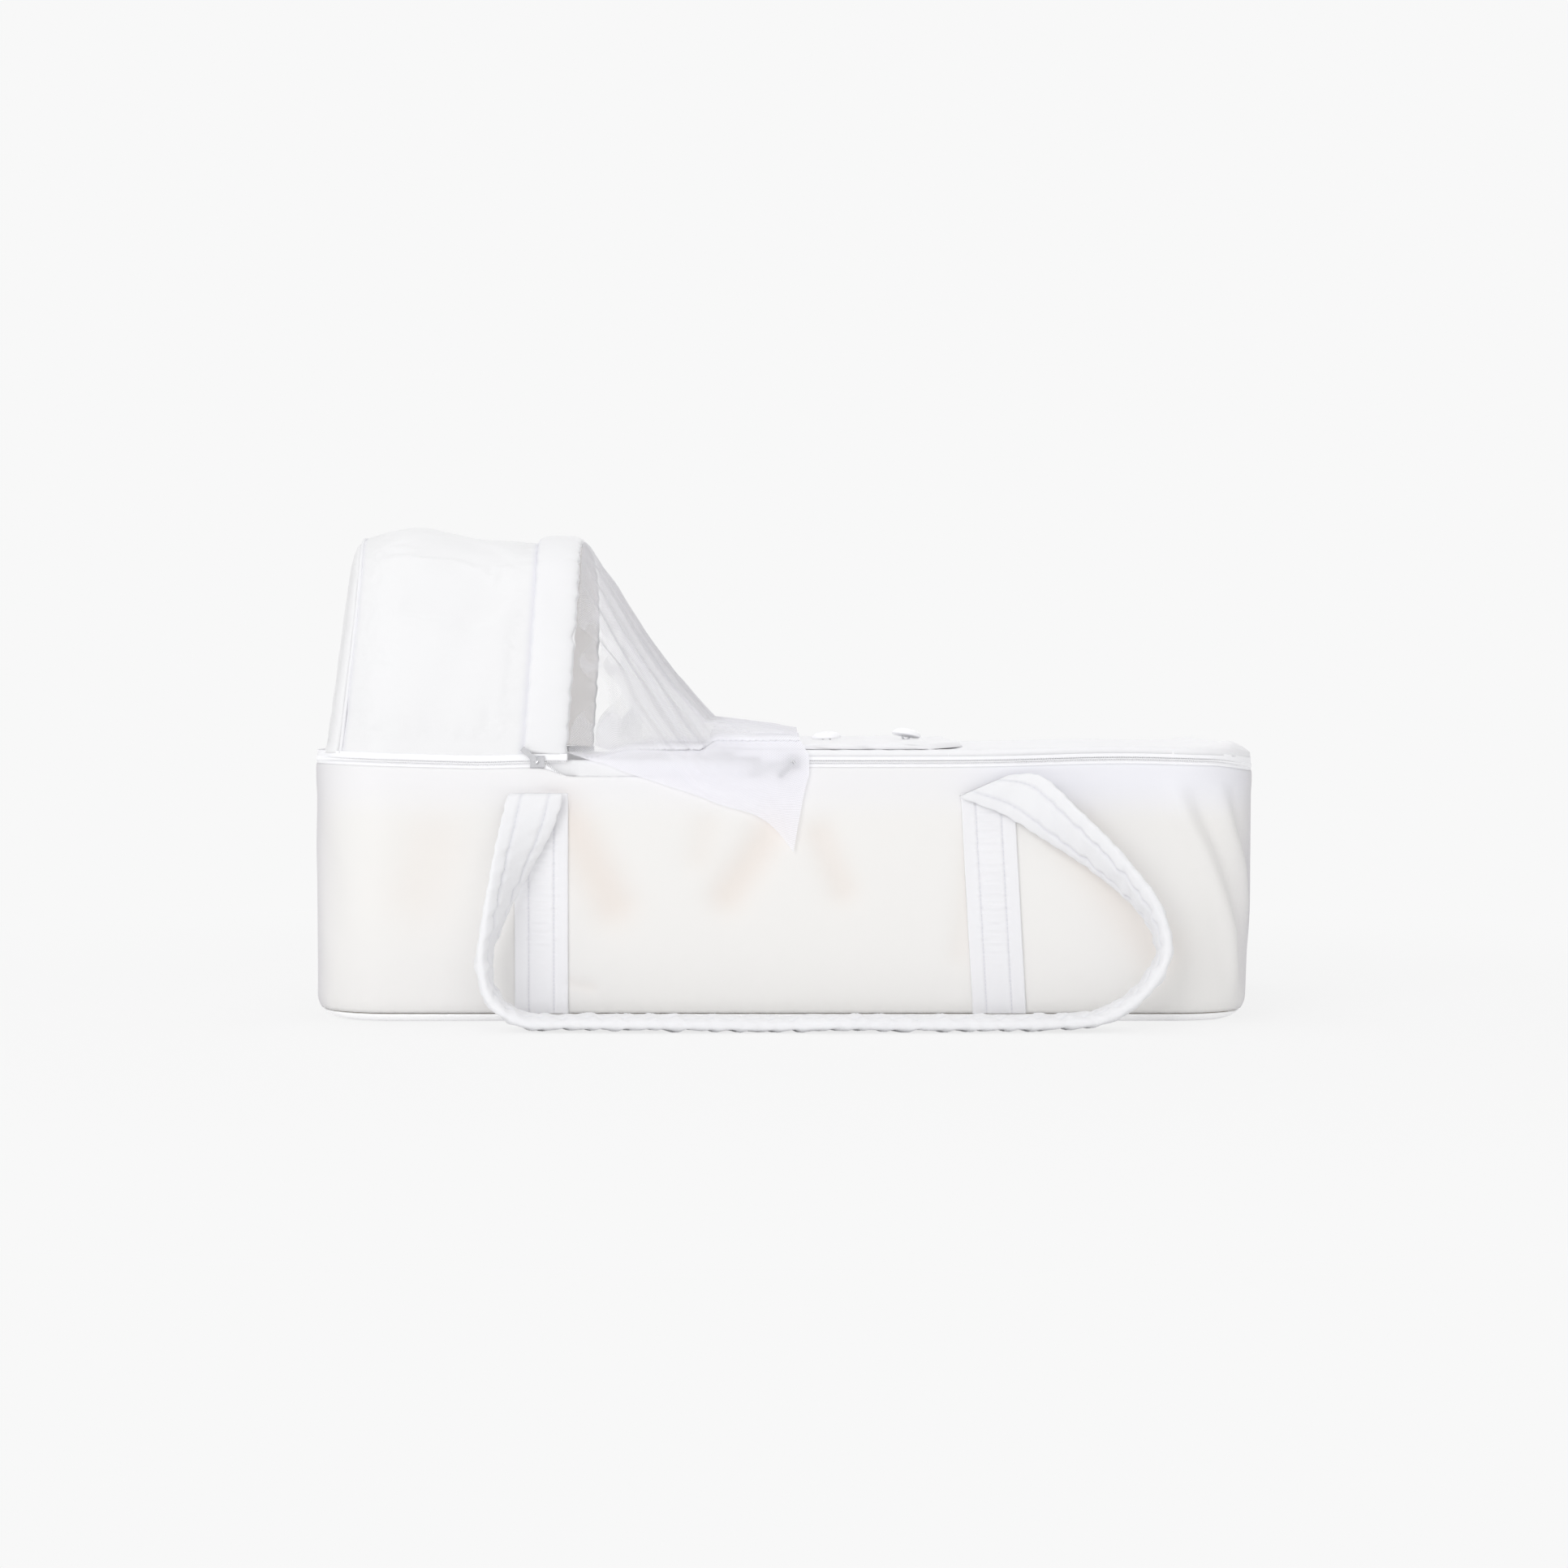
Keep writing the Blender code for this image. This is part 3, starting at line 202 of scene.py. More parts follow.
CORNER = 70 * MM
BOTTOM_EDGE = 20 * MM
UP = np.array([0.0, 0.0, 1.0])
cover_low, cover_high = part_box("side_cover")
half_length, half_width = cover_high.x, cover_high.y
straight_x, straight_y = half_length - CORNER, half_width - CORNER
seam_z, rim_seam_z = cover_low.z, cover_high.z
quarter = math.pi / 2 * CORNER
knots = np.cumsum([-straight_x] + 2 * [2 * straight_x, quarter, 2 * straight_y, quarter])
turns = np.array([0, 0, 1, 1, 2, 2, 3, 3, 4]) * math.pi / 2
PERIMETER = knots[-1] - knots[0]
HALF_ROUND = PERIMETER / 2
line_at = np.linspace(knots[0], knots[-1], 8001)
line_step = line_at[1] - line_at[0]
headings = np.interp((line_at[1:] + line_at[:-1]) / 2, knots, turns)
line_x = np.concatenate([[0], np.cumsum(np.cos(headings) * line_step)]) - straight_x
line_y = np.concatenate([[0], np.cumsum(np.sin(headings) * line_step)]) - half_width


def wrapped(along):
    """A place along the wall line, brought within one turn of it."""
    return (np.asarray(along) - knots[0]) % PERIMETER + knots[0]


def wall_line(along):
    """Points on the wall line and the outward directions there: the heading turns evenly at the corners,
    and a point is the running sum of the heading's cosine and sine."""
    at = wrapped(along)
    turn = np.interp(at, knots, turns)
    point = np.stack([np.interp(at, line_at, line_x), np.interp(at, line_at, line_y), 0 * at], axis=-1)
    return point, np.stack([np.sin(turn), -np.cos(turn), 0 * at], axis=-1)


def round_places(count):
    """Places spread evenly along the whole wall line."""
    return np.linspace(0, PERIMETER, count, endpoint=False)


def joined(x, y, z):
    """Points from their coordinates, which may be broadcast."""
    return np.stack(np.broadcast_arrays(x, y, z), axis=-1)


def unit(vectors):
    """Vectors brought to a length of one."""
    return vectors / np.linalg.norm(vectors, axis=-1, keepdims=True)


def around(along, out, z):
    """Points at distances out and heights z from the wall line; the three arrays may be broadcast."""
    along, out, z = np.broadcast_arrays(along, out, z)
    point, away = wall_line(along)
    return point + away * out[..., None] + UP * z[..., None]


def near_place(along):
    """The place along the near side that answers to a place on either side, for what is alike on both."""
    at = wrapped(along)
    far = np.where(at < 1.5 * HALF_ROUND, HALF_ROUND - at, at - PERIMETER)
    return np.where(at > HALF_ROUND / 2, far, at)


def step(value, low, high):
    """0 below low, 1 above high, and a smooth S between them."""
    share = np.clip((value - low) / (high - low), 0.0, 1.0)
    return share * share * (3 - 2 * share)


def bell(value, width):
    """1 at zero, falling off evenly on both sides."""
    return np.exp(-(value / width) ** 2)


def ripple(along, length, seed):
    """Uneven waves of about one length, as cloth makes at a seam: three sines whose lengths don't agree."""
    turn = 2 * math.pi * along / length
    second = 0.6 * np.sin(0.63 * turn + 2.1 * seed)
    return (np.sin(turn + seed) + second + 0.45 * np.sin(1.71 * turn + 3.7 * seed)) / 2.05


def grid_cells(rows, columns, close_rows=False, close_columns=False):
    """Row and column of each cell of a grid of points, where close joins the last row or column to the first."""
    return (np.arange(rows if close_rows else rows - 1)[:, None],
            np.arange(columns if close_columns else columns - 1)[None, :])


def grid_quads(rows, columns, close_rows=False, close_columns=False):
    """Faces over a grid of points stored row by row."""
    i, j = grid_cells(rows, columns, close_rows, close_columns)
    down, right = (i + 1) % rows, (j + 1) % columns
    quads = np.stack([i * columns + j, i * columns + right, down * columns + right, down * columns + j], axis=-1)
    return quads.reshape(-1, 4)


def running_length(points, close):
    """Length along a line of points from its first, with the way back to the first if it closes."""
    line = np.concatenate([points, points[:1]]) if close else points
    return np.concatenate([[0], np.cumsum(np.linalg.norm(np.diff(line, axis=0), axis=1))])


def new_object(name, points, faces, uv=None):
    """A smooth object from points and faces, with a UV map in metres of cloth where one is given."""
    mesh = bpy.data.meshes.new(name)
    mesh.from_pydata(points.reshape(-1, 3).tolist(), [], faces)
    if uv is not None:
        layer = mesh.uv_layers.new(name="cloth")
        full = np.zeros((len(mesh.loops), 2))
        full[:len(uv)] = uv
        layer.data.foreach_set("uv", full.ravel())
    mesh.shade_smooth()
    return add_object(name, mesh)


def surface(name, points, close_rows=False, close_columns=False, caps=()):
    """An object over a grid of points, with its faces turned away from its middle. The UV map runs along the
    lengths of its middle row and column, and caps fill the ring of the first row (0), of the last (-1), or both."""
    rows, columns = points.shape[:2]
    quads = grid_quads(rows, columns, close_rows, close_columns)
    flat = points.reshape(-1, 3) - points.reshape(-1, 3).mean(axis=0)
    first, second, third, fourth = [flat[quads[:, k]] for k in range(4)]
    facing = np.cross(third - first, fourth - second)
    inside_out = np.sum((first + second + third + fourth) * facing) < 0
    rings = np.arange(rows * columns).reshape(rows, columns)
    faces = quads.tolist() + [rings[0, ::-1].tolist() if cap == 0 else rings[-1].tolist() for cap in caps]
    across = running_length(points[rows // 2], close_columns)
    down = running_length(points[:, columns // 2], close_rows)
    i, j = grid_cells(rows, columns, close_rows, close_columns)
    corners = [np.stack(np.broadcast_arrays(across[j + b], down[i + a]), axis=-1)
               for a, b in ((0, 0), (0, 1), (1, 1), (1, 0))]
    made = new_object(name, points, faces, np.stack(corners, axis=2).reshape(-1, 2))
    if inside_out:
        made.data.flip_normals()
    return made


def thicken(piece, thickness, offset=-1.0):
    """Gives a surface its cloth thickness, inwards unless told otherwise."""
    wall = piece.modifiers.new("cloth_thickness", "SOLIDIFY")
    wall.thickness = thickness
    wall.offset = offset


def new_group(name, inputs, outputs):
    """An empty node group, with its inputs given as (name, kind, value) and its outputs as (name, kind)."""
    group = bpy.data.node_groups.new(name, "ShaderNodeTree")
    for label, kind, value in inputs:
        socket = group.interface.new_socket(label, in_out="INPUT", socket_type=kind)
        if value is not None:
            socket.default_value = value
    for label, kind in outputs:
        group.interface.new_socket(label, in_out="OUTPUT", socket_type=kind)
    return group, group.nodes.new("NodeGroupInput"), group.nodes.new("NodeGroupOutput")


def scaled(tree, vector, factor):
    """A vector times a number, which may be a socket."""
    node = add_node(tree, "VectorMath", operation="SCALE")
    feed(tree, vector, node.inputs[0])
    feed(tree, factor, node.inputs["Scale"])
    return node.outputs[0]


def noise(tree, vector, detail):
    """A noise texture's value at a vector."""
    node = add_node(tree, "TexNoise", {"Scale": 1.0, "Detail": detail})
    feed(tree, vector, node.inputs["Vector"])
    return node.outputs[0]


def mixed_colour(tree, factor, first, second):
    """A colour between two others, at the share that a socket gives."""
    node = add_node(tree, "Mix", data_type="RGBA")
    for label, value in (("Factor", factor), ("A", first), ("B", second)):
        feed(tree, value, node.inputs[label])
    return node.outputs["Result"]


weave, given, result = new_group(
    "woven_threads", [("Cloth", "NodeSocketVector", None), ("Spacing", "NodeSocketFloat", 0.5 * MM)],
    [("Height", "NodeSocketFloat")])
per_thread = scaled(weave, given.outputs["Cloth"], maths(weave, "DIVIDE", 1.0, given.outputs["Spacing"]))
parts = add_node(weave, "SeparateXYZ")
weave.links.new(per_thread, parts.inputs[0])
warp, weft = [maths(weave, "ABSOLUTE", maths(weave, "SINE", maths(weave, "MULTIPLY", parts.outputs[k], math.pi)))
              for k in (0, 1)]
crossing = maths(weave, "ADD", maths(weave, "FLOOR", parts.outputs[0]), maths(weave, "FLOOR", parts.outputs[1]))
over = maths(weave, "ABSOLUTE", maths(weave, "MODULO", crossing, 2.0))
under = maths(weave, "MULTIPLY", weft, maths(weave, "SUBTRACT", 1.0, over))
wire(weave, (maths(weave, "ADD", maths(weave, "MULTIPLY", warp, over), under), result.inputs["Height"]))

handling, given, result = new_group(
    "handled_cloth", [("Place", "NodeSocketVector", None), ("Crease Size", "NodeSocketFloat", 20 * MM)],
    [("Height", "NodeSocketFloat"), ("Tone", "NodeSocketFloat")])
spread = scaled(handling, given.outputs["Place"], maths(handling, "DIVIDE", 1.0, given.outputs["Crease Size"]))
wire(handling, (noise(handling, spread, 3.0), result.inputs["Height"]),
     (noise(handling, scaled(handling, spread, 0.35), 2.0), result.inputs["Tone"]))


def group_node(tree, group, **values):
    """A node of a shared group, with values or sockets for its inputs, underscores standing for spaces."""
    node = add_node(tree, "Group", node_tree=group)
    for label, value in values.items():
        feed(tree, value, node.inputs[label.replace("_", " ")])
    return node


def set_glow(shader, colour, strength):
    """Paints light into a material: a faint glow that stands in for light reaching thin white cloth from behind it and
    from the floor.
    """
    shader.inputs["Emission Color"].default_value = (*colour, 1.0)
    shader.inputs["Emission Strength"].default_value = strength


def cloth_material(name, colour, shade, roughness=0.85, spacing=0.55, thread=0.035, crease=26, crease_depth=0.35,
                   sheen=0.2, glow=0.0, glow_colour=WHITE):
    """Cloth: threads and soft creases as bump, a slow drift between its colour and a second shade, and a glow of
    painted light.
    Its lengths are in millimetres, and it is plain cotton unless told otherwise."""
    made, tree, shader = new_material(name)
    for label, value in (("Roughness", roughness), ("Sheen Weight", sheen), ("Sheen Roughness", 0.4),
                         ("Specular IOR Level", 0.35)):
        shader.inputs[label].default_value = value
    if glow:
        set_glow(shader, glow_colour, glow)
    cloth = add_node(tree, "UVMap", uv_map="cloth").outputs[0]
    place = add_node(tree, "TexCoord").outputs["Object"]
    threads = group_node(tree, weave, Cloth=cloth, Spacing=spacing * MM)
    creases = group_node(tree, handling, Place=place, Crease_Size=crease * MM)
    bump = add_node(tree, "Bump", {"Distance": 1.0})
    height = maths(tree, "ADD", maths(tree, "MULTIPLY", threads.outputs["Height"], thread * MM),
                   maths(tree, "MULTIPLY", creases.outputs["Height"], crease_depth * MM))
    wire(tree, (mixed_colour(tree, creases.outputs["Tone"], shade, colour), shader.inputs["Base Color"]),
         (height, bump.inputs["Height"]), (bump.outputs[0], shader.inputs["Normal"]))
    return made


def finish_piece(piece, material, body, slot, *nodes):
    """Gives a piece its material and the body it moves with, and hides the nodes that it stands for. Its slot is not
    used.
    """
    piece.data.materials.append(material)
    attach(piece, body)
    if nodes:
        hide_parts(*nodes)
    return piece


# A dent is its start, its end, its width and its depth, and a crease is its route, width and depth. Points are
# (along, height), and all are in millimetres.
DENTS = (((-182, 180), (-142, 100), 20, 4.6), ((-11, 161), (-46, 108), 17, 4.4), ((31, 157), (50, 113), 14, 3.2),
         ((-65, 165), (-70, 140), 14, 1.8), ((-178, 34), (-160, 30), 5, 1.4), ((245, 158), (318, 62), 22, 3.0),
         ((-290, 150), (-300, 110), 30, 2.0), ((160, 150), (150, 60), 12, 1.6), ((-520, 160), (-500, 90), 30, 2.4))
CREASES = (((337, 205), (352, 170), (368, 142), (396, 80), (402, 30), 9, 4.2),
           ((379, 205), (394, 165), (414, 130), (426, 85), 8, 3.6), ((480, 190), (472, 130), (460, 70), 13, 2.6),
           ((-382, 60), (-390, 120), (-402, 170), 12, 1.4))


def valley(along, z, start, end, width, depth):
    """A soft dent about the line from start to end."""
    start, reach = np.array(start), np.array(end) - np.array(start)
    share = np.clip(((along - start[0]) * reach[0] + (z - start[1]) * reach[1]) / (reach @ reach), 0, 1)
    away = np.hypot(along - start[0] - share * reach[0], z - start[1] - share * reach[1])
    return -depth * bell(away, width)


def crease(along, z, *route):
    """A fold along a route of (along, height) points, given before its width and depth: the cloth rises on
    one side of the route and sinks on the other, and the fold fades out past both ends."""
    route, width, depth = sorted(route[:-2], key=lambda point: point[1]), route[-2], route[-1]
    places, heights = np.array(route).T
    away = (along - np.interp(z, heights, places)) / width
    ends = step(z, heights[0] - 20, heights[0] + 20) * (1 - step(z, heights[-1] - 36, heights[-1] + 14))
    return -depth * away * np.exp(0.5 - 0.5 * away ** 2) * ends


def wall_place(along):
    """The place that decides a dent: the far side has the near side's dents, drawn a little to one side."""
    return (near_place(along) + 14 * MM * (1 - np.cos(2 * math.pi * wrapped(along) / PERIMETER))) / MM


def wall_hollows(along, z):
    """How far the soft dents draw the cover in, in millimetres and negative."""
    return sum(valley(wall_place(along), z / MM, *dent) for dent in DENTS)


def wall_shape(along, z):
    """How far the cover stands out from the wall line: dents, creases, slow waves and seam puckers."""
    at, place, height = wrapped(along), wall_place(along), z / MM
    out = 0.9 * ripple(at, PERIMETER / 9, 0.7) * bell(height - 110, 90) + wall_hollows(along, z)
    for fold in CREASES:
        out = out + crease(place, height, *fold)
    out = out + 0.55 * ripple(at, 16 * MM, 1.3) * bell(height - seam_z / MM, 14)
    out = out + 0.22 * ripple(at, 11 * MM, 4.1) * bell(height - rim_seam_z / MM, 9)
    return out * MM


OPEN_FROM, OPEN_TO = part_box("hood_zip_lower")[1].x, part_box("apron_zip_lower")[0].x


def zip_level(x):
    """How far the zips stand over their level: up at the head end and beside the foot strap, and down just
    before the hood's slider and round the foot end."""
    head = 2.4 * MM * (1 - step(x, -0.40, -0.29)) - 1.2 * MM * bell(x + 0.255, 0.035)
    return head + 3.0 * MM * bell(x - 0.28, 0.08) - 4.0 * MM * step(x, 0.355, 0.42)


def cover_top(along):
    """Height of the cover's top edge: at the rim's seam in the open stretch, and up to the zips elsewhere."""
    x = near_place(along)
    opened = step(x, OPEN_FROM - 26 * MM, OPEN_FROM + 4 * MM) * (1 - step(x, OPEN_TO - 4 * MM, OPEN_TO + 22 * MM))
    return rim_seam_z + 2.4 * MM + (7.8 * MM + zip_level(x)) * (1 - opened)


def bottom_edge(z):
    """How far the rounded bottom edge stands in from the wall line at a height: a quarter circle."""
    under = np.clip(1 - z / BOTTOM_EDGE, 0.0, 1.0)
    return BOTTOM_EDGE * (np.sqrt(1 - under ** 2) - 1)


def foot_lean(along, z):
    """The foot end leans in towards the floor, by an amount that grows as the height falls."""
    return -6.0 * MM * step(near_place(along), 0.37, 0.45) * np.clip(1 - z / 0.2, 0, 1) ** 1.5


def top_lip(z):
    """How far the cover stands out just under its top edge, over the zip's seam."""
    return 0.6 * MM * step(z, 0.19, 0.203)


cover_along = round_places(780)[:, None]
cover_x = near_place(cover_along)
cover_share = np.concatenate([np.linspace(0, 0.12, 9)[:-1], np.linspace(0.12, 0.92, 34)[:-1], np.linspace(0.92, 1, 9)])
cover_z = seam_z + (cover_top(cover_along) - seam_z) * cover_share[None, :]
below_top = cover_top(cover_along) - cover_z
settled = step(below_top, 2 * MM, 30 * MM)
cover_out = bottom_edge(cover_z) + wall_shape(cover_along, cover_z) * settled + foot_lean(cover_along, cover_z)
cover_out += top_lip(cover_z) - 0.7 * MM * (1 - step(below_top, 0, 2.5 * MM))
side_cover = surface("side_cover_cloth", around(cover_along, cover_out, cover_z), close_rows=True)
thicken(side_cover, 1.0 * MM)


def add_mask(piece, name, values):
    """Stores one number from 0 to 1 for each point of a piece, for its material to read."""
    mask = piece.data.attributes.new(name, "FLOAT", "POINT")
    mask.data.foreach_set("value", np.clip(values, 0.0, 1.0).astype(np.float32).ravel())


def mask_value(tree, name):
    """The output that reads a piece's mask in its material."""
    return add_node(tree, "Attribute", attribute_name=name).outputs["Fac"]


def paint_shading(material, mask, colour):
    """Paints shading into a material: mixes another colour in where the piece's mask is high."""
    tree = material.node_tree
    base = tree.nodes["Principled BSDF"].inputs["Base Color"]
    plain = base.links[0].from_socket
    tree.links.new(mixed_colour(tree, mask_value(tree, mask), plain, colour), base)


# Painted shade: the sateen is darkened to a warm beige in the dents, as deep as they draw in.
add_mask(side_cover, "hollow_shade", -wall_hollows(cover_along, cover_z) / 6.0)
# Painted cool light: the top of the wall, just under the zips, is turned bluish, more towards the foot.
cool_light_reach = 0.45 + 0.55 * step(cover_x, 0.12, 0.2)
add_mask(side_cover, "top_cool_light", step(cover_z, 0.165, 0.203) * cool_light_reach)
# Painted shade: the cover darkens round the corners at both ends and a little past them, and low on the head half near
# the floor.
turned = bell(np.abs(cover_x) - 0.437, 0.034) + 0.12 * step(np.abs(cover_x), 0.34, 0.43)
floor_shade = 0.16 * (1 - step(cover_z, 0.01, 0.12)) * (1 - step(cover_x, -0.25, -0.1))
add_mask(side_cover, "end_and_floor_shade", np.maximum(turned, floor_shade))
SATEEN_WEAVE = (0.5, 0.3, 0.008)
sateen = cloth_material("white_sateen", (0.888, 0.875, 0.858), (0.868, 0.858, 0.843), *SATEEN_WEAVE, 60, 0.2,
                        0.12)
# Painted shade in the dents.
paint_shading(sateen, "hollow_shade", (0.84, 0.775, 0.725))
# Painted cool light along the top of the wall.
paint_shading(sateen, "top_cool_light", (0.885, 0.885, 0.93))
# Painted shade round the ends and near the floor.
paint_shading(sateen, "end_and_floor_shade", (0.68, 0.665, 0.69))
finish_piece(side_cover, sateen, "bed", "cover_satin", "side_cover")

# Foam walls
# A band of open-cell foam stands inside the cover and gives it its softly dented shape.

foam_low, foam_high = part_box("wall_foam")
FOAM_GAP = 3.6 * MM
FOAM_THICKNESS = 10.6 * MM
foam_along = round_places(640)[:, None]
foam_share = np.concatenate([[0, 0.03], np.linspace(0.08, 0.92, 22), [0.97, 1.0]])
foam_z = foam_low.z + (foam_high.z - foam_low.z) * foam_share[None, :] + 0 * foam_along
foam_outer = bottom_edge(foam_z) - FOAM_GAP + foot_lean(foam_along, foam_z)
foam_outer += np.minimum(wall_shape(foam_along, foam_z), 0)
foam_outer = np.maximum(foam_outer, -FOAM_GAP - FOAM_THICKNESS + 3 * MM)
foam_inner = -FOAM_GAP - FOAM_THICKNESS + 0.2 * MM * ripple(foam_along, 30 * MM, 2.0) + 0 * foam_z
foam_outs = np.concatenate([foam_outer, foam_inner[:, ::-1]], axis=1)
foam_heights = np.concatenate([foam_z, foam_z[:, ::-1]], axis=1)
foam = surface("wall_foam_band", around(foam_along, foam_outs, foam_heights), True, True)
cream_foam = cloth_material("cream_foam", (0.86, 0.82, 0.70), (0.80, 0.76, 0.63), 0.95, 1.1, 0.15, 5, 0.3, 0.0)
finish_piece(foam, cream_foam, "bed", "foam", "wall_foam")

# Underside
# One panel of cotton is drawn up over the bottom edge to the cover's seam, where it puckers, most of all beyond
# the straps on both sides.

UNDER_CLOTH = 1.2 * MM
under_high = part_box("bottom_panel")[1]
under_along = round_places(720)[None, :]
under_x = near_place(under_along)
rise = np.linspace(0, math.acos(1 - (under_high.z - 1.2 * MM) / BOTTOM_EDGE), 10)[:, None]
edge_out = BOTTOM_EDGE * (np.sin(rise) - 1)
edge_z = 0.3 * MM + BOTTOM_EDGE * (1 - np.cos(rise))
puckered = 0.35 + bell(under_x + 0.30, 0.06) + bell(under_x - 0.33, 0.045)
gather = puckered * ripple(under_along, 13 * MM, 0.4) * (rise / rise[-1]) ** 1.5 * 0.9 * MM
edge_rows = around(under_along, edge_out + gather + foot_lean(under_along, edge_z), edge_z)
inward = np.array([0.02, 0.2, 0.45, 0.7, 0.88, 0.97])[:, None, None]
flat_rows = edge_rows[:1] * np.array([1.0, 1.0, 0.0]) * inward + UP * 0.3 * MM
under = surface("underside_cloth", np.concatenate([flat_rows, edge_rows]), close_columns=True, caps=(0,))
thicken(under, UNDER_CLOTH)
cotton = cloth_material("white_cotton", (0.93, 0.93, 0.935), (0.90, 0.905, 0.915))
# Its glow is painted light, brightening the underside's edge as light bounced from the floor would.
underside_cotton = cloth_material("underside_cotton", (0.97, 0.97, 0.975), (0.95, 0.95, 0.96), glow=0.16,
                                  glow_colour=(1.0, 0.995, 1.0))
finish_piece(under, underside_cotton, "bed", "cover_satin", "bottom_panel")

# Inner lining
# A tub of plain cotton sewn to the rim's inner edge. It falls down the walls and lies under the mattress.

lining_low, lining_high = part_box("inner_lining")
LINING_OUT = -14.9 * MM
LINING_CORNER = 9 * MM
lining_along = round_places(420)[None, :]
lining_floor = lining_low.z + 0.6 * MM
bend = np.linspace(0, math.pi / 2, 6)[:, None]
bend_out = LINING_OUT - LINING_CORNER * (1 - np.sin(bend))
bend_z = lining_floor + LINING_CORNER * (1 - np.cos(bend))
wall_z = np.linspace(lining_floor + LINING_CORNER, lining_high.z - 0.3 * MM, 26)[1:, None]
slack = 0.7 * MM * np.minimum(ripple(lining_along, 55 * MM, 1.1) - 0.6, 0) * np.sin(math.pi * wall_z / wall_z[-1])
lining_wall = around(lining_along, LINING_OUT + slack, wall_z + 0 * slack)
lining_bend = around(lining_along, bend_out, bend_z)
lining_flat = lining_bend[:1] * np.array([1.0, 1.0, 0.0]) * inward + UP * lining_floor
lining = surface("inner_lining_cloth", np.concatenate([lining_flat, lining_bend, lining_wall]), close_columns=True,
                 caps=(0,))
thicken(lining, 0.9 * MM)
finish_piece(lining, cotton, "bed", "lining_cotton", "inner_lining")

# Padded rim
# A soft roll runs round the top of the walls. It is full and flat-faced in the open stretch between the hood
# and the apron, and is drawn in behind the zips elsewhere.

rim_low, rim_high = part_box("rim_roll")
RIM_OPEN, RIM_ZIPPED, RIM_INNER = 0.2 * MM, -3.7 * MM, -16.6 * MM


def superellipse(half_across, half_through, power, count):
    """Points of |a/half|^p + |b/half|^p = 1, evenly spaced in angle."""
    angle = np.arange(count) / count * 2 * math.pi
    reach = 2 / power
    across = half_across * np.sign(np.cos(angle)) * np.abs(np.cos(angle)) ** reach
    return across, half_through * np.sign(np.sin(angle)) * np.abs(np.sin(angle)) ** reach


rim_along = round_places(900)[:, None]
rim_x = near_place(rim_along)
rim_open = step(rim_x, OPEN_FROM + 1 * MM, OPEN_FROM + 12 * MM) * (1 - step(rim_x, OPEN_TO - 12 * MM, OPEN_TO - 1 * MM))
rim_outer = RIM_ZIPPED + (RIM_OPEN - RIM_ZIPPED) * rim_open
rim_half = (rim_outer - RIM_INNER) / 2
rim_across, rim_through = superellipse(1.0, 1.0, 4.2, 44)
rim_middle = (rim_low.z + rim_high.z) / 2
rim_height = (rim_high.z - rim_low.z) / 2 + 0.5 * MM
seam_side = bell(rim_through + 0.75, 0.5) + bell(rim_across + 0.8, 0.4)
rim_pucker = 0.30 * MM * ripple(rim_along, 9 * MM, 2.2) * seam_side + 0.35 * MM * ripple(rim_along, 46 * MM, 0.3)
rim_outs = rim_outer - rim_half + (rim_half + rim_pucker - 0.3 * MM) * rim_across
rim_points = around(rim_along, rim_outs, rim_middle + (rim_height + rim_pucker * 0.5 - 0.2 * MM) * rim_through)
rim = surface("padded_rim", rim_points, True, True)
rim_cotton = cloth_material("rim_cotton", (0.885, 0.885, 0.90), (0.87, 0.87, 0.885))
finish_piece(rim, rim_cotton, "bed", "quilted_cotton", "rim_roll")

# Zips
# Two open-ended nylon coil zips with woven tapes. The lower tapes are sewn to the cover and the upper ones to
# the hood and the apron. The coils are rows of separate loops that mesh where the zips are closed.

TAPE_CLOTH = 0.6 * MM
TAPE_MIDDLE = -0.7 * MM
TOOTH_PITCH = 1.25 * MM
TOOTH_REACH = 1.5 * MM
TOOTH_LEAN = 0.2
CHAIN_LEVEL = (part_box("hood_zip_lower")[1].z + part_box("hood_zip_upper")[0].z) / 2
slider_x = {"hood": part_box("near_hood_slider")[1].x, "apron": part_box("near_apron_slider")[0].x}


def capsule(radius, half_length, sides=6):
    """Points and faces of a rod with domed ends along X, centred on the origin."""
    lengths = np.array([-half_length - 0.6 * radius, -half_length, half_length, half_length + 0.6 * radius])
    widths = np.array([0.35, 1.0, 1.0, 0.35]) * radius
    angle = np.arange(sides) / sides * 2 * math.pi
    points = joined(lengths[:, None], widths[:, None] * np.cos(angle), widths[:, None] * np.sin(angle))
    quads = grid_quads(len(lengths), sides, close_columns=True).tolist()
    ends = [list(range(sides))[::-1], list(range(3 * sides, 4 * sides))]
    return points.reshape(-1, 3), quads, ends


def scatter(name, template, origins, directions, normals):
    """Many copies of a small shape as one object. Each copy's X lies along its direction and its Z along its
    normal, so a copy's point is origin + x direction + y (normal x direction) + z normal."""
    points, quads, ends = template
    directions = unit(directions)
    sideways = unit(np.cross(normals, directions))
    upright = np.cross(directions, sideways)
    axes = np.stack([directions, sideways, upright], axis=1)
    placed = origins[:, None, :] + np.einsum("pk,nkc->npc", points, axes)
    offsets = (np.arange(len(origins)) * len(points))[:, None, None]
    faces = (np.array(quads)[None] + offsets).reshape(-1, 4).tolist()
    faces += (np.array(ends)[None] + offsets).reshape(-1, len(ends[0])).tolist()
    return new_object(name, placed, faces)


def zip_drop(x, kind):
    """How far an unfastened lower chain hangs away below the meshed level, past the slider."""
    if kind == "hood":
        return 12.0 * MM * step(x, slider_x["hood"] - 3 * MM, OPEN_FROM)
    return 9.0 * MM * (1 - step(x, OPEN_TO, slider_x["apron"] + 3 * MM))


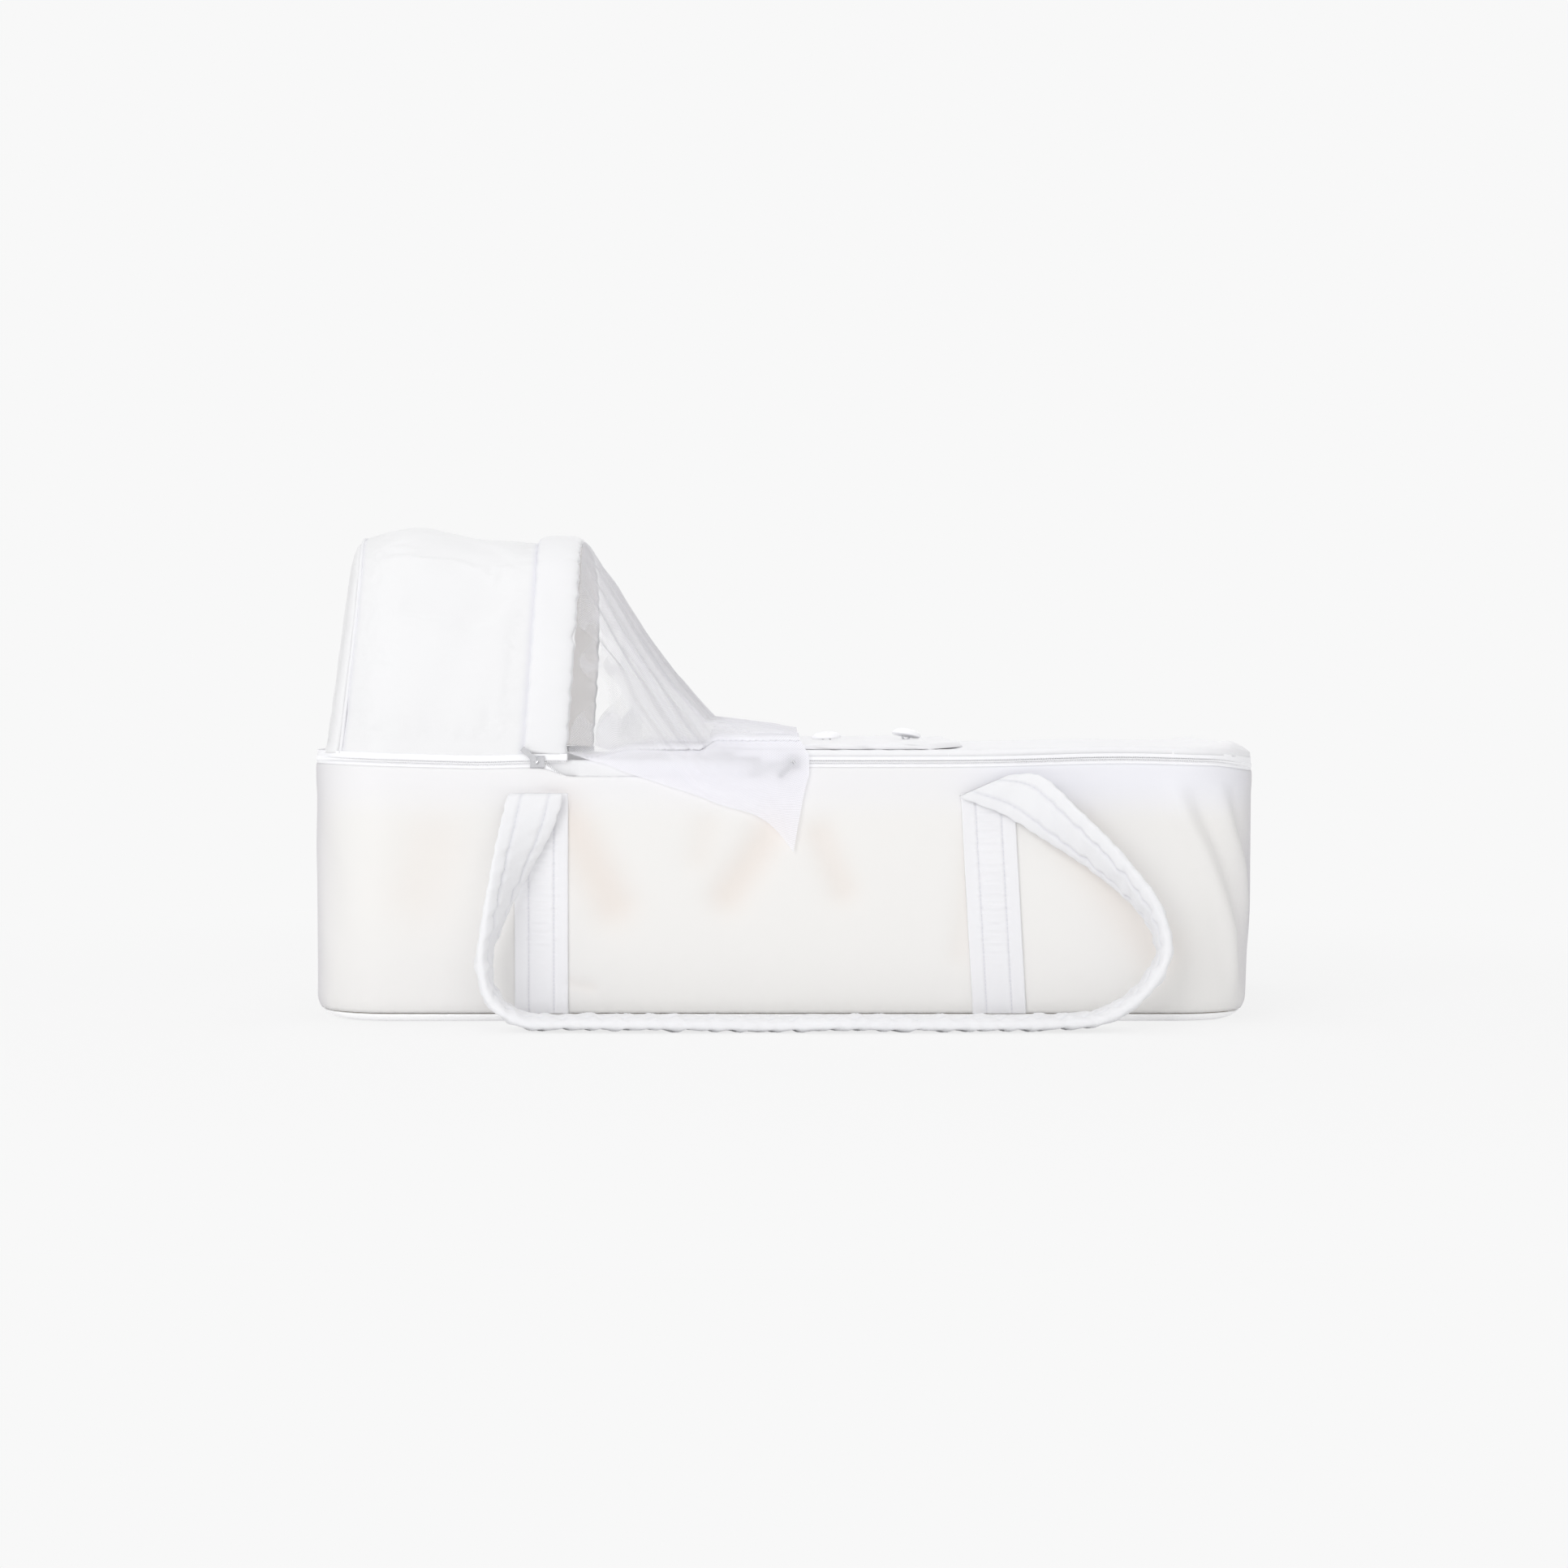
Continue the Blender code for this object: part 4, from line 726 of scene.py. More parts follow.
def zip_reach(kind, count):
    """Places along the wall that a zip covers: round the head end for the hood, round the foot for the apron."""
    if kind == "hood":
        return np.linspace(HALF_ROUND - OPEN_FROM, PERIMETER + OPEN_FROM, count)
    return np.linspace(OPEN_TO, HALF_ROUND - OPEN_TO, count)


# The nylon and the tapes glow a little: painted light that brightens them where they sit in the shade between the
# rolls.
nylon = cloth_material("zip_nylon", (0.97, 0.97, 0.985), (0.955, 0.955, 0.975), 0.4, 0.4, 0.0, 20, 0.0, 0.0, 0.06)
tape_weave = cloth_material("zip_tape_weave", (0.965, 0.965, 0.985), (0.95, 0.95, 0.975), 0.75, 0.4, 0.05, 20, 0.1, 0.0,
                            0.06)
TOOTH = capsule(0.30 * MM, TOOTH_REACH - 0.3 * MM)
for kind in ("hood", "apron"):
    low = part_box(f"{kind}_zip_lower")[0].z
    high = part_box(f"{kind}_zip_upper")[1].z
    tape_along = zip_reach(kind, 520)[:, None]
    tape_x = near_place(tape_along)
    level = CHAIN_LEVEL + zip_level(tape_x)
    hang = zip_drop(tape_x, kind)
    across = np.linspace(0, 1, 7)[None, :]
    bottom = np.minimum(low + 0.4 * MM, level - hang - 3 * MM)
    lower_z = bottom + (level - hang - 1.0 * MM - bottom) * across
    tape_wave = TAPE_MIDDLE + 0.12 * MM * ripple(tape_along, 17 * MM, 0.9)
    lower_tape = surface(f"{kind}_zip_lower_tape", around(tape_along, tape_wave, lower_z))
    thicken(lower_tape, TAPE_CLOTH, offset=0.0)
    finish_piece(lower_tape, tape_weave, "bed", "zip_tape", f"{kind}_zip_lower")
    upper_z = level + 1.3 * MM + (high + zip_level(tape_x) - level - 1.3 * MM) * across
    upper_tape = surface(f"{kind}_zip_upper_tape", around(tape_along, tape_wave, upper_z))
    thicken(upper_tape, TAPE_CLOTH, offset=0.0)
    finish_piece(upper_tape, tape_weave, kind, "zip_tape", f"{kind}_zip_upper")
    zip_length = tape_along[-1, 0] - tape_along[0, 0]
    for part, rides, up, shift in (("lower", "bed", 1, 0.0), ("upper", kind, -1, 0.5)):
        turns_of_coil = np.arange(int(zip_length / TOOTH_PITCH) - 1) + 0.5 + shift
        teeth_along = tape_along[0, 0] + TOOTH_PITCH * turns_of_coil
        teeth_x = near_place(teeth_along)
        teeth_z = CHAIN_LEVEL + zip_level(teeth_x) - up * (TOOTH_REACH - 0.9 * MM)
        if part == "lower":
            teeth_z = teeth_z - zip_drop(teeth_x, kind)
        origins = around(teeth_along, TAPE_MIDDLE + 0.75 * MM, teeth_z)
        ahead = around(teeth_along + 0.1 * MM, TAPE_MIDDLE + 0.75 * MM, teeth_z) - origins
        outward = wall_line(teeth_along)[1]
        leaning = UP * up + TOOTH_LEAN * unit(ahead)
        teeth = scatter(f"{kind}_zip_{part}_coil", TOOTH, origins, leaning, outward)
        finish_piece(teeth, nylon, rides, "zip_tape")

# Mattress
# A thin foam mattress in a cotton slip lies loose in the tub. Its CAD solid, drawn in a little and blown up
# again by a short cloth simulation, gives it full sides and a soft, uneven top.

MATTRESS_VOXEL = 6 * MM
MATTRESS_DRAW = 3.5 * MM
SIMULATION_STEPS = 20
CLOTH_SETTINGS = {"quality": 4, "mass": 0.25, "tension_stiffness": 18, "compression_stiffness": 18,
                  "shear_stiffness": 8, "bending_stiffness": 0.35, "use_pressure": True}


def read_points(mesh):
    """The points of a mesh as an array."""
    points = np.empty(len(mesh.vertices) * 3)
    mesh.vertices.foreach_get("co", points)
    return points.reshape(-1, 3)


def simulate(piece, pressure, growth, reach, held=None):
    """Lets a piece settle as cloth with air behind it and no weight. Growth is how much larger the cloth
    becomes, held is how firmly each point is pinned, and no point ends up further than reach from its start."""
    scene = bpy.context.scene
    cloth = piece.modifiers.new("settling", "CLOTH")
    for label, value in CLOTH_SETTINGS.items():
        setattr(cloth.settings, label, value)
    cloth.settings.uniform_pressure_force = pressure
    cloth.settings.shrink_min = -growth
    cloth.settings.effector_weights.gravity = 0
    cloth.collision_settings.use_collision = False
    cloth.point_cache.frame_end = SIMULATION_STEPS
    if held is not None:
        group = piece.vertex_groups.new(name="held")
        for level in np.unique(np.round(held, 1)):
            chosen = np.flatnonzero(np.isclose(np.round(held, 1), level)).tolist()
            group.add(chosen, float(level), "REPLACE")
        cloth.settings.vertex_group_mass = "held"
    start = read_points(piece.data)
    for moment in range(1, SIMULATION_STEPS + 1):
        scene.frame_set(moment)
    moved = read_points(piece.evaluated_get(bpy.context.evaluated_depsgraph_get()).data) - start
    piece.modifiers.remove(cloth)
    scene.frame_set(1)
    length = np.linalg.norm(moved, axis=1, keepdims=True)
    moved *= np.tanh(length / reach) * reach / np.maximum(length, 1e-9)
    piece.data.vertices.foreach_set("co", (start + moved).ravel())
    piece.data.update()


def add_cloth_map(piece):
    """A UV map in metres for a piece with no grid: the two flat directions of each point."""
    points = read_points(piece.data)
    corner = np.empty(len(piece.data.loops), dtype=int)
    piece.data.loops.foreach_get("vertex_index", corner)
    layer = piece.data.uv_layers.get("cloth") or piece.data.uv_layers.new(name="cloth")
    layer.data.foreach_set("uv", (points[corner][:, :2] + points[corner][:, 2:]).ravel())


mattress_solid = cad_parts["mattress"]
mattress = add_object("mattress_slip", mattress_solid.data.copy())
remesh = mattress.modifiers.new("even_faces", "REMESH")
remesh.mode = "VOXEL"
remesh.voxel_size = MATTRESS_VOXEL
mattress_mesh = bpy.data.meshes.new_from_object(mattress.evaluated_get(bpy.context.evaluated_depsgraph_get()))
mattress.modifiers.clear()
mattress.data = mattress_mesh
mattress_mesh.materials.clear()
mattress_points = read_points(mattress_mesh)
mattress_low, mattress_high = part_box("mattress")
mattress_middle = np.array((mattress_low + mattress_high) / 2)
mattress_half = np.array((mattress_high - mattress_low) / 2)
mattress_points = mattress_middle + (mattress_points - mattress_middle) * (1 - MATTRESS_DRAW / mattress_half)
mattress_mesh.vertices.foreach_set("co", mattress_points.ravel())
simulate(mattress, 4.0, 0.01, MATTRESS_DRAW)
mattress_mesh.shade_smooth()
add_cloth_map(mattress)
finish_piece(mattress, cotton, "bed", "lining_cotton", "mattress")

# Base board
# A plain sheet of hardboard, seen only where the mattress is lifted.

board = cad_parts["base_board"]
hardboard, tree, board_shader = new_material("hardboard")
board_shader.inputs["Roughness"].default_value = 0.75
board_place = add_node(tree, "TexCoord").outputs["Object"]
board_marks = group_node(tree, handling, Place=board_place, Crease_Size=2 * MM).outputs["Height"]
wire(tree, (mixed_colour(tree, board_marks, (0.36, 0.25, 0.15), (0.50, 0.38, 0.25)), board_shader.inputs["Base Color"]))
board.data.materials.clear()
board.data.materials.append(hardboard)

# Straps
# Four flat cotton straps run down the cover and in under its edge, each stitched on with two long rows.

STRAP_HALF = 22.5 * MM
STRAP_CLOTH = 2.2 * MM
STRAP_SEAT = 0.4 * MM
STITCH_ROW = 10.5 * MM
STITCH_PITCH = 3.4 * MM
STRAPS = {"head": (-203 * MM, -203 * MM), "foot": (181 * MM, 170 * MM)}
SIDES = {"near": -1, "far": 1}
strap_low, strap_high = [corner.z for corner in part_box("near_head_strap")]
STITCH = capsule(0.3 * MM, 1.15 * MM)


def cover_face(along, z):
    """Distance of the cover's face from the wall line."""
    return bottom_edge(z) + wall_shape(along, z) + foot_lean(along, z) + top_lip(z)


def side_along(x, side):
    """The place along the wall line of a place x on the near (-1) or the far (1) side."""
    return x if side < 0 else HALF_ROUND - x


def strap_middle(end, z):
    """The strap's middle line: it may lean a little along the bed."""
    bottom_x, top_x = STRAPS[end]
    return bottom_x + (top_x - bottom_x) * z / strap_high


def strap_face(end, side, across, z, through):
    """Points on a strap, from the distance off its middle line, the height and the share of its thickness."""
    along = side_along(strap_middle(end, z) + across, side)
    off_row = np.abs(across) - STITCH_ROW
    tucks = ripple(z, 6 * MM, 1.0 + side) * bell(across, 9 * MM)
    tucks = tucks + ripple(z, 9 * MM, 2.0 + side) * bell(off_row, 4 * MM)
    slack = 0.4 * MM * ripple(z + across, 60 * MM, 2.0 * side)
    relief = slack + 0.6 * MM * tucks * step(z, 0.02, 0.09) - 0.8 * MM * bell(off_row, 1.1 * MM)
    relief = relief * np.clip(through, 0, 1)
    seat = STRAP_SEAT + STRAP_CLOTH / 2
    return around(along, cover_face(along, z) + seat + STRAP_CLOTH / 2 * through + relief, z)


def flat_section(half_across, edge, count):
    """Points round a flat section, evenly spaced over each face and close together at its rounded edges."""
    face = np.linspace(-1, 1, count)
    face = half_across * np.sign(face) * (1 - (1 - np.abs(face)) ** 1.15)
    through = np.sqrt(1 - np.clip(1 - (half_across - np.abs(face)) / edge, 0, 1) ** 2)
    return np.concatenate([face, face[-2:0:-1]]), np.concatenate([-through, through[-2:0:-1]])


cotton_twill = cloth_material("strap_twill", (0.94, 0.935, 0.955), (0.92, 0.92, 0.945), 0.8, 0.6, 0.06, 22, 0.4, 0.15)
# The thread is drawn greyer than the white cloth it sews: painted shade of the dimples that the stitches pull in.
thread = cloth_material("stitching_thread", (0.80, 0.80, 0.84), (0.76, 0.76, 0.81), 0.6, 0.3, 0.0, 8, 0.0, 0.0)
# Painted shade along the stitched grooves of the straps.
paint_shading(cotton_twill, "groove_shade", (0.865, 0.86, 0.89))
strap_z = np.linspace(strap_low, strap_high, 200)[:, None]
section_across, section_through = flat_section(STRAP_HALF, 1.4 * MM, 61)
stitch_z = np.arange(strap_low + 4 * MM, strap_high - 2 * MM, STITCH_PITCH)
for side_name, side in SIDES.items():
    for end in STRAPS:
        name = f"{side_name}_{end}_strap"
        strap = surface(f"{name}_cotton", strap_face(end, side, section_across, strap_z, section_through),
                        close_columns=True, caps=(0, -1))
        add_mask(strap, "groove_shade", bell(np.abs(section_across) - STITCH_ROW, 1.0 * MM) + 0 * strap_z)
        finish_piece(strap, cotton_twill, "bed", "strap_cotton", name)
        rows = []
        for across in (-STITCH_ROW, STITCH_ROW):
            rows.append([strap_face(end, side, across, stitch_z + lead, 1.0) for lead in (0.0, 0.2 * MM)])
        origins = np.concatenate([row[0] for row in rows])
        ahead = np.concatenate([row[1] for row in rows]) - origins
        outward = np.tile(np.array([0.0, side, 0.0]), (len(origins), 1))
        stitches = scatter(f"{name}_stitches", STITCH, origins + outward * 0.12 * MM, ahead, outward)
        finish_piece(stitches, thread, "bed", "strap_cotton")

# Handles
# Two padded ribbons of quilted cotton, sewn at both ends to the tops of the straps. Each turns from facing
# outwards at its ends to lying flat on the ground along its middle, where it has been let down.

HANDLE_HALF = 23 * MM
HANDLE_FULL, HANDLE_THIN = 11.5 * MM, 6.5 * MM
QUILT_ROW = 11.5 * MM
SETTLE = 1.2 * MM
HANDLE_SHAPE = 2.6
# A station is its distance along the bed from its strap and its gap from the strap's face in millimetres, its
# height as a share of the way up to the strap's top, and the slope and the twist of its width in degrees.
HEAD_STATIONS = ((-4, 0, 1.0, 0, 0), (-9, 0.2, 0.89, -7, 18), (-23, 4, 0.67, -14, 52), (-37, 8, 0.44, -12, 76),
                 (-44, 13, 0.25, 0, 88), (-36, 18, 0.10, 38, 90), (-10, 21, 0.008, 76, 90), (36, 22, 0.0, 90, 90))
FOOT_STATIONS = ((52, 22, 0.0, 92, 90), (92, 21, 0.027, 108, 90), (121, 18, 0.12, 140, 90), (143, 13, 0.31, 180, 88),
                 (134, 8, 0.475, 204, 76), (106, 4, 0.655, 222, 62), (60, 2, 0.865, 231, 38), (25, 0.2, 1.0, 224, 12),
                 (-4, 0, 1.035, 203, 0))


def smooth_line(keys, places, wanted):
    """A smooth line through key points: cubic Hermite steps whose slopes are the keys' own differences."""
    keys = np.asarray(keys, dtype=float)
    slopes = np.gradient(keys, places, axis=0)
    at = np.clip(np.searchsorted(places, wanted, side="right") - 1, 0, len(places) - 2)
    width = (places[at + 1] - places[at])[:, None]
    t = (wanted - places[at])[:, None] / width
    left = (2 * t ** 3 - 3 * t ** 2 + 1) * keys[at] + (t ** 3 - 2 * t ** 2 + t) * width * slopes[at]
    return left + (3 * t ** 2 - 2 * t ** 3) * keys[at + 1] + (t ** 3 - t ** 2) * width * slopes[at + 1]


def handle_path(side, count):
    """Middle line of a handle with the directions of its width and its thickness, and the share along it."""
    floor_z = (HANDLE_FULL + 1 * MM) / 2
    seat = 2.5 * MM + 0.69 * MM + HANDLE_THIN / 2
    keys = []
    for stations, base in ((HEAD_STATIONS, STRAPS["head"][1]), (FOOT_STATIONS, STRAPS["foot"][1])):
        for along, gap, height, slope, twist in stations:
            out = seat + gap * MM + HANDLE_HALF * math.sin(math.radians(twist))
            keys.append((base + along * MM, out, floor_z + height * (strap_high - floor_z), slope, twist))
    keys = np.array(keys)
    places = running_length(keys[:, :3], False)
    places /= places[-1]
    share = np.linspace(0, 1, count)
    route = smooth_line(keys, places, share)
    on_floor = step(share, 0.26, 0.34) * (1 - step(share, 0.60, 0.68))
    wander = ripple(route[:, 0], 150 * MM, 0.5 + side) * on_floor
    above_floor = SETTLE * np.logaddexp((route[:, 2] - floor_z) / SETTLE, 0)
    height = floor_z + above_floor + wander * 1.0 * MM * on_floor
    middle = np.stack([route[:, 0], side * (half_width + route[:, 1] + 2.5 * MM * wander), height], axis=1)
    tangent = unit(np.gradient(middle, axis=0))
    slope, twist = np.radians(route[:, 3]), np.radians(np.clip(route[:, 4], 0, 90))
    wide = np.stack([np.cos(twist) * np.cos(slope), -side * np.sin(twist), np.cos(twist) * np.sin(slope)], axis=1)
    return middle, wide, unit(np.cross(tangent, wide)), share


def handle_face(path, seed, across, through):
    """Points on a handle: a flat oval section, drawn in along its quilting rows and puckered beside them."""
    middle, wide, thick, share = path
    length = running_length(middle, False)[:, None]
    from_end = np.minimum(length, length[-1] - length)
    fullness = step(np.minimum(share, 1 - share)[:, None], 0.0, 0.14)
    half = (HANDLE_THIN + (HANDLE_FULL - HANDLE_THIN) * fullness) / 2
    ends = np.sqrt(1 - np.clip(1 - from_end / (4 * MM), 0, 1) ** 2)
    off_row = np.abs(across) - QUILT_ROW
    puckers = ripple(length + 5 * MM * np.sign(across) + 0.5 * across, 17 * MM, seed) * bell(off_row, 8 * MM)
    lumps = ripple(length, 37 * MM, seed + 1) * bell(across, 16 * MM)
    seam = ripple(length, 13 * MM, seed + 2) * bell(np.abs(across) - HANDLE_HALF, 5 * MM)
    relief = 1.8 * MM * puckers + 1.2 * MM * lumps - 1.9 * MM * bell(off_row, 1.7 * MM)
    high = (half * through + relief * np.clip(4 * through, -1, 1) * (0.35 + 0.65 * fullness)) * ends
    wide_share = across * (1 - 0.06 * (1 - ends)) + 0.7 * MM * seam * np.sign(across)
    return middle[:, None] + wide[:, None] * wide_share[..., None] + thick[:, None] * high[..., None]


quilted = cloth_material("quilted_cotton", (0.915, 0.915, 0.93), (0.89, 0.892, 0.915), 0.8, 0.5, 0.04, 12, 0.5)
# Painted shade along the quilting rows of the handles.
paint_shading(quilted, "groove_shade", (0.80, 0.80, 0.84))
handle_across, handle_through = superellipse(HANDLE_HALF, 1.0, HANDLE_SHAPE, 88)
row_through = (1 - (QUILT_ROW / HANDLE_HALF) ** HANDLE_SHAPE) ** (1 / HANDLE_SHAPE)
for side_name, side in SIDES.items():
    path = handle_path(side, 460)
    handle = surface(f"{side_name}_handle_quilted", handle_face(path, 1.5 + side, handle_across, handle_through),
                     close_columns=True, caps=(0, -1))
    row_depth = bell(np.abs(handle_across) - QUILT_ROW, 1.6 * MM)[None, :] + 0 * path[3][:, None]
    add_mask(handle, "groove_shade", 0.75 * row_depth)
    handle.data.materials.append(quilted)
    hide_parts(f"{side_name}_handle")
    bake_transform(handle)
    stitch_path = handle_path(side, 215)
    rows = []
    for face in (1, -1):
        outward = stitch_path[2][3:-3] * face
        for across in (-QUILT_ROW, QUILT_ROW):
            row = handle_face(stitch_path, 1.5 + side, np.array([[across]]), np.array([[face * row_through]]))[3:-3, 0]
            rows.append((row + outward * 0.1 * MM, np.gradient(row, axis=0), outward))
    stitches = scatter(f"{side_name}_handle_stitches", STITCH, *[np.concatenate(part) for part in zip(*rows)])
    stitches.data.materials.append(thread)
    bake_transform(stitches)

# Hood canopy, lining and rear panel
# The canopy is one padded sateen shell with a plain cotton lining. Its rear panel is a second padded piece,
# joined to it by a piped seam that puckers both.

SHELL_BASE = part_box("hood_canopy")[0].z
HOOD_REAR, HOOD_SEAM, HOOD_FRONT = -373 * MM, -218 * MM, -181 * MM
HOOD_HEIGHT, HOOD_WAVE, HOOD_CREST, BAND_RISE = 182.5 * MM, 12 * MM, 46 * MM, 5.6 * MM
FRONT_LEAN, REAR_LEAN, MIDDLE_LEAN = 13 * MM, 22 * MM, 4 * MM
HOOD_FLAT = 115 * MM
HOOD_REACH = 69.2 * MM
canopy_rear, canopy_front = -372.4 * MM, -214.5 * MM


def hood_half(x):
    """Half the hood's width: it follows the bed's corner at the head end."""
    past = np.clip(-straight_x - x, 0, HOOD_REACH)
    return HOOD_FLAT + np.sqrt(HOOD_REACH ** 2 - past ** 2)


def hood_top(x):
    """Height of the hood over its base: a swell near the rear, and a small rise at the front band."""
    swell = HOOD_WAVE * bell(x - HOOD_REAR - HOOD_CREST, HOOD_CREST)
    return HOOD_HEIGHT + swell + BAND_RISE * step(x, HOOD_SEAM, HOOD_SEAM + 11 * MM)


def hood_lean(x, across, rise):
    """How far forwards the hood leans at shares of its half width and its height: most at the rear and at the
    sides, so that its seams curve back over the top."""
    side_lean = REAR_LEAN + (FRONT_LEAN - REAR_LEAN) * np.clip((x - HOOD_REAR) / (HOOD_SEAM - HOOD_REAR), 0, 1)
    return rise * (MIDDLE_LEAN + (side_lean - MIDDLE_LEAN) * across ** 2)


def arch(x, inset, share):
    """Points of the hood's cross-section |y/w|^3 + |z/h|^3 = 1 at a place x, moved inwards by the inset, from
    the near foot (share 0) over the top to the far foot (1), leaning forwards as it rises."""
    angle = math.pi * share
    across = np.sign(np.cos(angle)) * np.abs(np.cos(angle)) ** (2 / 3)
    rise = np.abs(np.sin(angle)) ** (2 / 3)
    y = -(hood_half(x) - inset) * across
    z = SHELL_BASE + (hood_top(x) - inset) * rise
    return joined(x + hood_lean(x, across, rise), y, z)


def even_shares(x, count):
    """Shares that lie evenly along the arch at x."""
    dense = np.linspace(0, 1, 4001)
    length = running_length(arch(x, 0.0, dense), False)
    return np.interp(np.linspace(0, length[-1], count), length, dense)


HOOD_MIDDLE = -290 * MM
arch_share = even_shares(HOOD_MIDDLE, 300)
arch_length = running_length(arch(HOOD_MIDDLE, 0.0, arch_share), False)[None, :]


def upward_normals(points):
    """Unit normals of a grid of points, on the side that looks up near its middle."""
    normal = np.cross(np.gradient(points, axis=0), np.gradient(points, axis=1))
    normal /= np.maximum(np.linalg.norm(normal, axis=-1, keepdims=True), 1e-12)
    return normal * np.sign(normal[len(normal) // 3, normal.shape[1] // 2, 2])


canopy_x = canopy_rear + (canopy_front - canopy_rear) * (0.5 - 0.5 * np.cos(np.linspace(0, math.pi, 70)))[:, None]
canopy = arch(canopy_x, 0.0, arch_share[None, :])
at_rear, at_front = canopy_x - canopy_rear, canopy_front - canopy_x
drawn = -1.1 * MM * bell(at_rear, 2.5 * MM) - 2.2 * MM * bell(at_front, 5 * MM)
drawn = drawn + 0.5 * MM * ripple(arch_length, 46 * MM, 0.7) * bell(at_rear - 2 * MM, 10 * MM)
drawn = drawn + 0.5 * MM * ripple(arch_length, 23 * MM, 2.9) * bell(at_front - 6 * MM, 8 * MM)
drawn = drawn + 1.0 * MM * ripple(arch_length + 0.4 * canopy_x, 105 * MM, 1.2) * bell(canopy_x - HOOD_MIDDLE, 50 * MM)
drawn = drawn + 0.7 * MM * ripple(canopy_x - 0.3 * arch_length, 70 * MM, 0.2)
above_zip = np.minimum(arch_length[0] - arch_length[0, 0], arch_length[0, -1] - arch_length[0])
drawn = drawn * step(above_zip, 0.0, 6 * MM) - 0.8 * MM * bell(above_zip, 2 * MM)
canopy = canopy + upward_normals(canopy) * drawn[..., None]
foot_hem = 1 - step(canopy[..., 2], SHELL_BASE, SHELL_BASE + 12 * MM)
canopy[..., 2] += (zip_level(canopy_x) - 2.9 * MM) * foot_hem
canopy[..., 1] += 0.5 * MM * np.sign(canopy[..., 1]) * foot_hem
canopy_shell = surface("hood_canopy_shell", canopy)
canopy_held = bell(at_rear, 9 * MM) + bell(at_front, 16 * MM) + bell(above_zip, 14 * MM)
simulate(canopy_shell, 1.5, 0.012, 1.2 * MM, np.clip(canopy_held, 0, 1).ravel())
thicken(canopy_shell, 4.2 * MM)
hood_sateen = cloth_material("hood_sateen", (0.872, 0.872, 0.88), (0.86, 0.86, 0.87), *SATEEN_WEAVE, 60, 0.2, 0.12)
# Painted shade along the seams: a lilac-grey line at the canopy's front seam and its rear edge, and at the band's rear
# edge.
SEAM_SHADE = (0.80, 0.80, 0.85)
paint_shading(hood_sateen, "seam", SEAM_SHADE)
seams = 0.75 * bell(canopy_x - canopy_front + 4 * MM, 3.5 * MM) + 0.5 * bell(at_rear, 3 * MM)
add_mask(canopy_shell, "seam", seams + 0 * arch_length)
finish_piece(canopy_shell, hood_sateen, "hood", "cover_satin", "hood_canopy")

lining_x = np.linspace(canopy_rear + 3 * MM, canopy_front - 2 * MM, 40)[:, None]
hood_lining = arch(lining_x, 6.0 * MM, arch_share[None, ::2])
sag = 0.6 * MM * ripple(arch_length[:, ::2], 60 * MM, 0.5) * np.sin(np.linspace(0, math.pi, 40))[:, None]
hood_lining = hood_lining + upward_normals(hood_lining) * np.minimum(sag, 0)[..., None]
hood_lining_cloth = surface("hood_lining_cloth", hood_lining)
thicken(hood_lining_cloth, 0.8 * MM)
# The lining's glow is painted light, standing in for light that comes through the canopy into the hood.
LIGHT_THROUGH = 0.36
lit_cotton = cloth_material("cotton_lit_from_behind", (0.93, 0.925, 0.92), (0.91, 0.905, 0.90), glow=LIGHT_THROUGH,
                            glow_colour=(1.0, 0.985, 0.97))
finish_piece(hood_lining_cloth, lit_cotton, "hood", "lining_cotton", "hood_lining")

REAR_DEPTH = 26.4 * MM
SEAM_GAP = 0.6 * MM
REAR_TOP_DEPTH, REAR_FOOT_DEPTH = 13 * MM, 19.5 * MM
rear_arch = arch(HOOD_REAR, 2.2 * MM, arch_share)
rear_share = np.concatenate([[0.03], np.linspace(0.1, 0.85, 26), np.linspace(0.87, 1.0, 14)])[:, None]
rear_foot = np.array([HOOD_REAR, 0.0, SHELL_BASE])
rear = rear_foot + (rear_arch - rear_foot) * rear_share[..., None]
rear_rise = (rear[..., 2] - SHELL_BASE) / HOOD_HEIGHT
rear_depth = REAR_TOP_DEPTH + (REAR_FOOT_DEPTH - REAR_TOP_DEPTH) * (1 - rear_rise)
rear_depth = rear_depth + 0.12 * REAR_DEPTH * np.clip(1 - rear_rise / 0.07, 0, 1) ** 2
rear_crown = np.maximum(rear_depth - SEAM_GAP - 1.5 * MM, 0) * np.sqrt(np.maximum(1 - rear_share ** 7, 0))
rear_tucks = 0.6 * MM * ripple(arch_length, 46 * MM, 0.9) * bell(1 - rear_share, 0.09)
rear_swell = 1.0 * MM * ripple(arch_length * rear_share, 120 * MM, 2.2) * np.sin(math.pi * rear_share)
rear[..., 0] -= SEAM_GAP + 0.6 * MM + rear_crown + rear_tucks + rear_swell
rear_hem = 1 - step(rear[..., 2], SHELL_BASE, SHELL_BASE + 12 * MM)
rear[..., 2] += (zip_level(-half_length) - 2.4 * MM) * rear_hem
rear_panel = surface("hood_rear_cushion", rear, caps=(0,))
rear_held = np.maximum(step(rear_share + 0 * rear_rise, 0.86, 0.97), 1 - step(rear_rise, 0.03, 0.1))
simulate(rear_panel, 1.5, 0.02, 1.6 * MM, rear_held.ravel())
thicken(rear_panel, 4.6 * MM)
finish_piece(rear_panel, hood_sateen, "hood", "quilted_cotton", "hood_rear_panel")


def arch_frame(x, inset, share):
    """Points along the arch at x with the directions of its width and outwards from it."""
    middle = arch(x, inset, share)
    tangent = unit(np.gradient(middle, axis=0))
    wide = unit(np.array([1.0, 0.0, 0.0]) - tangent * tangent[:, :1])
    outward = np.cross(wide, tangent)
    return middle, wide, outward * np.sign(outward[len(outward) // 2, 2])


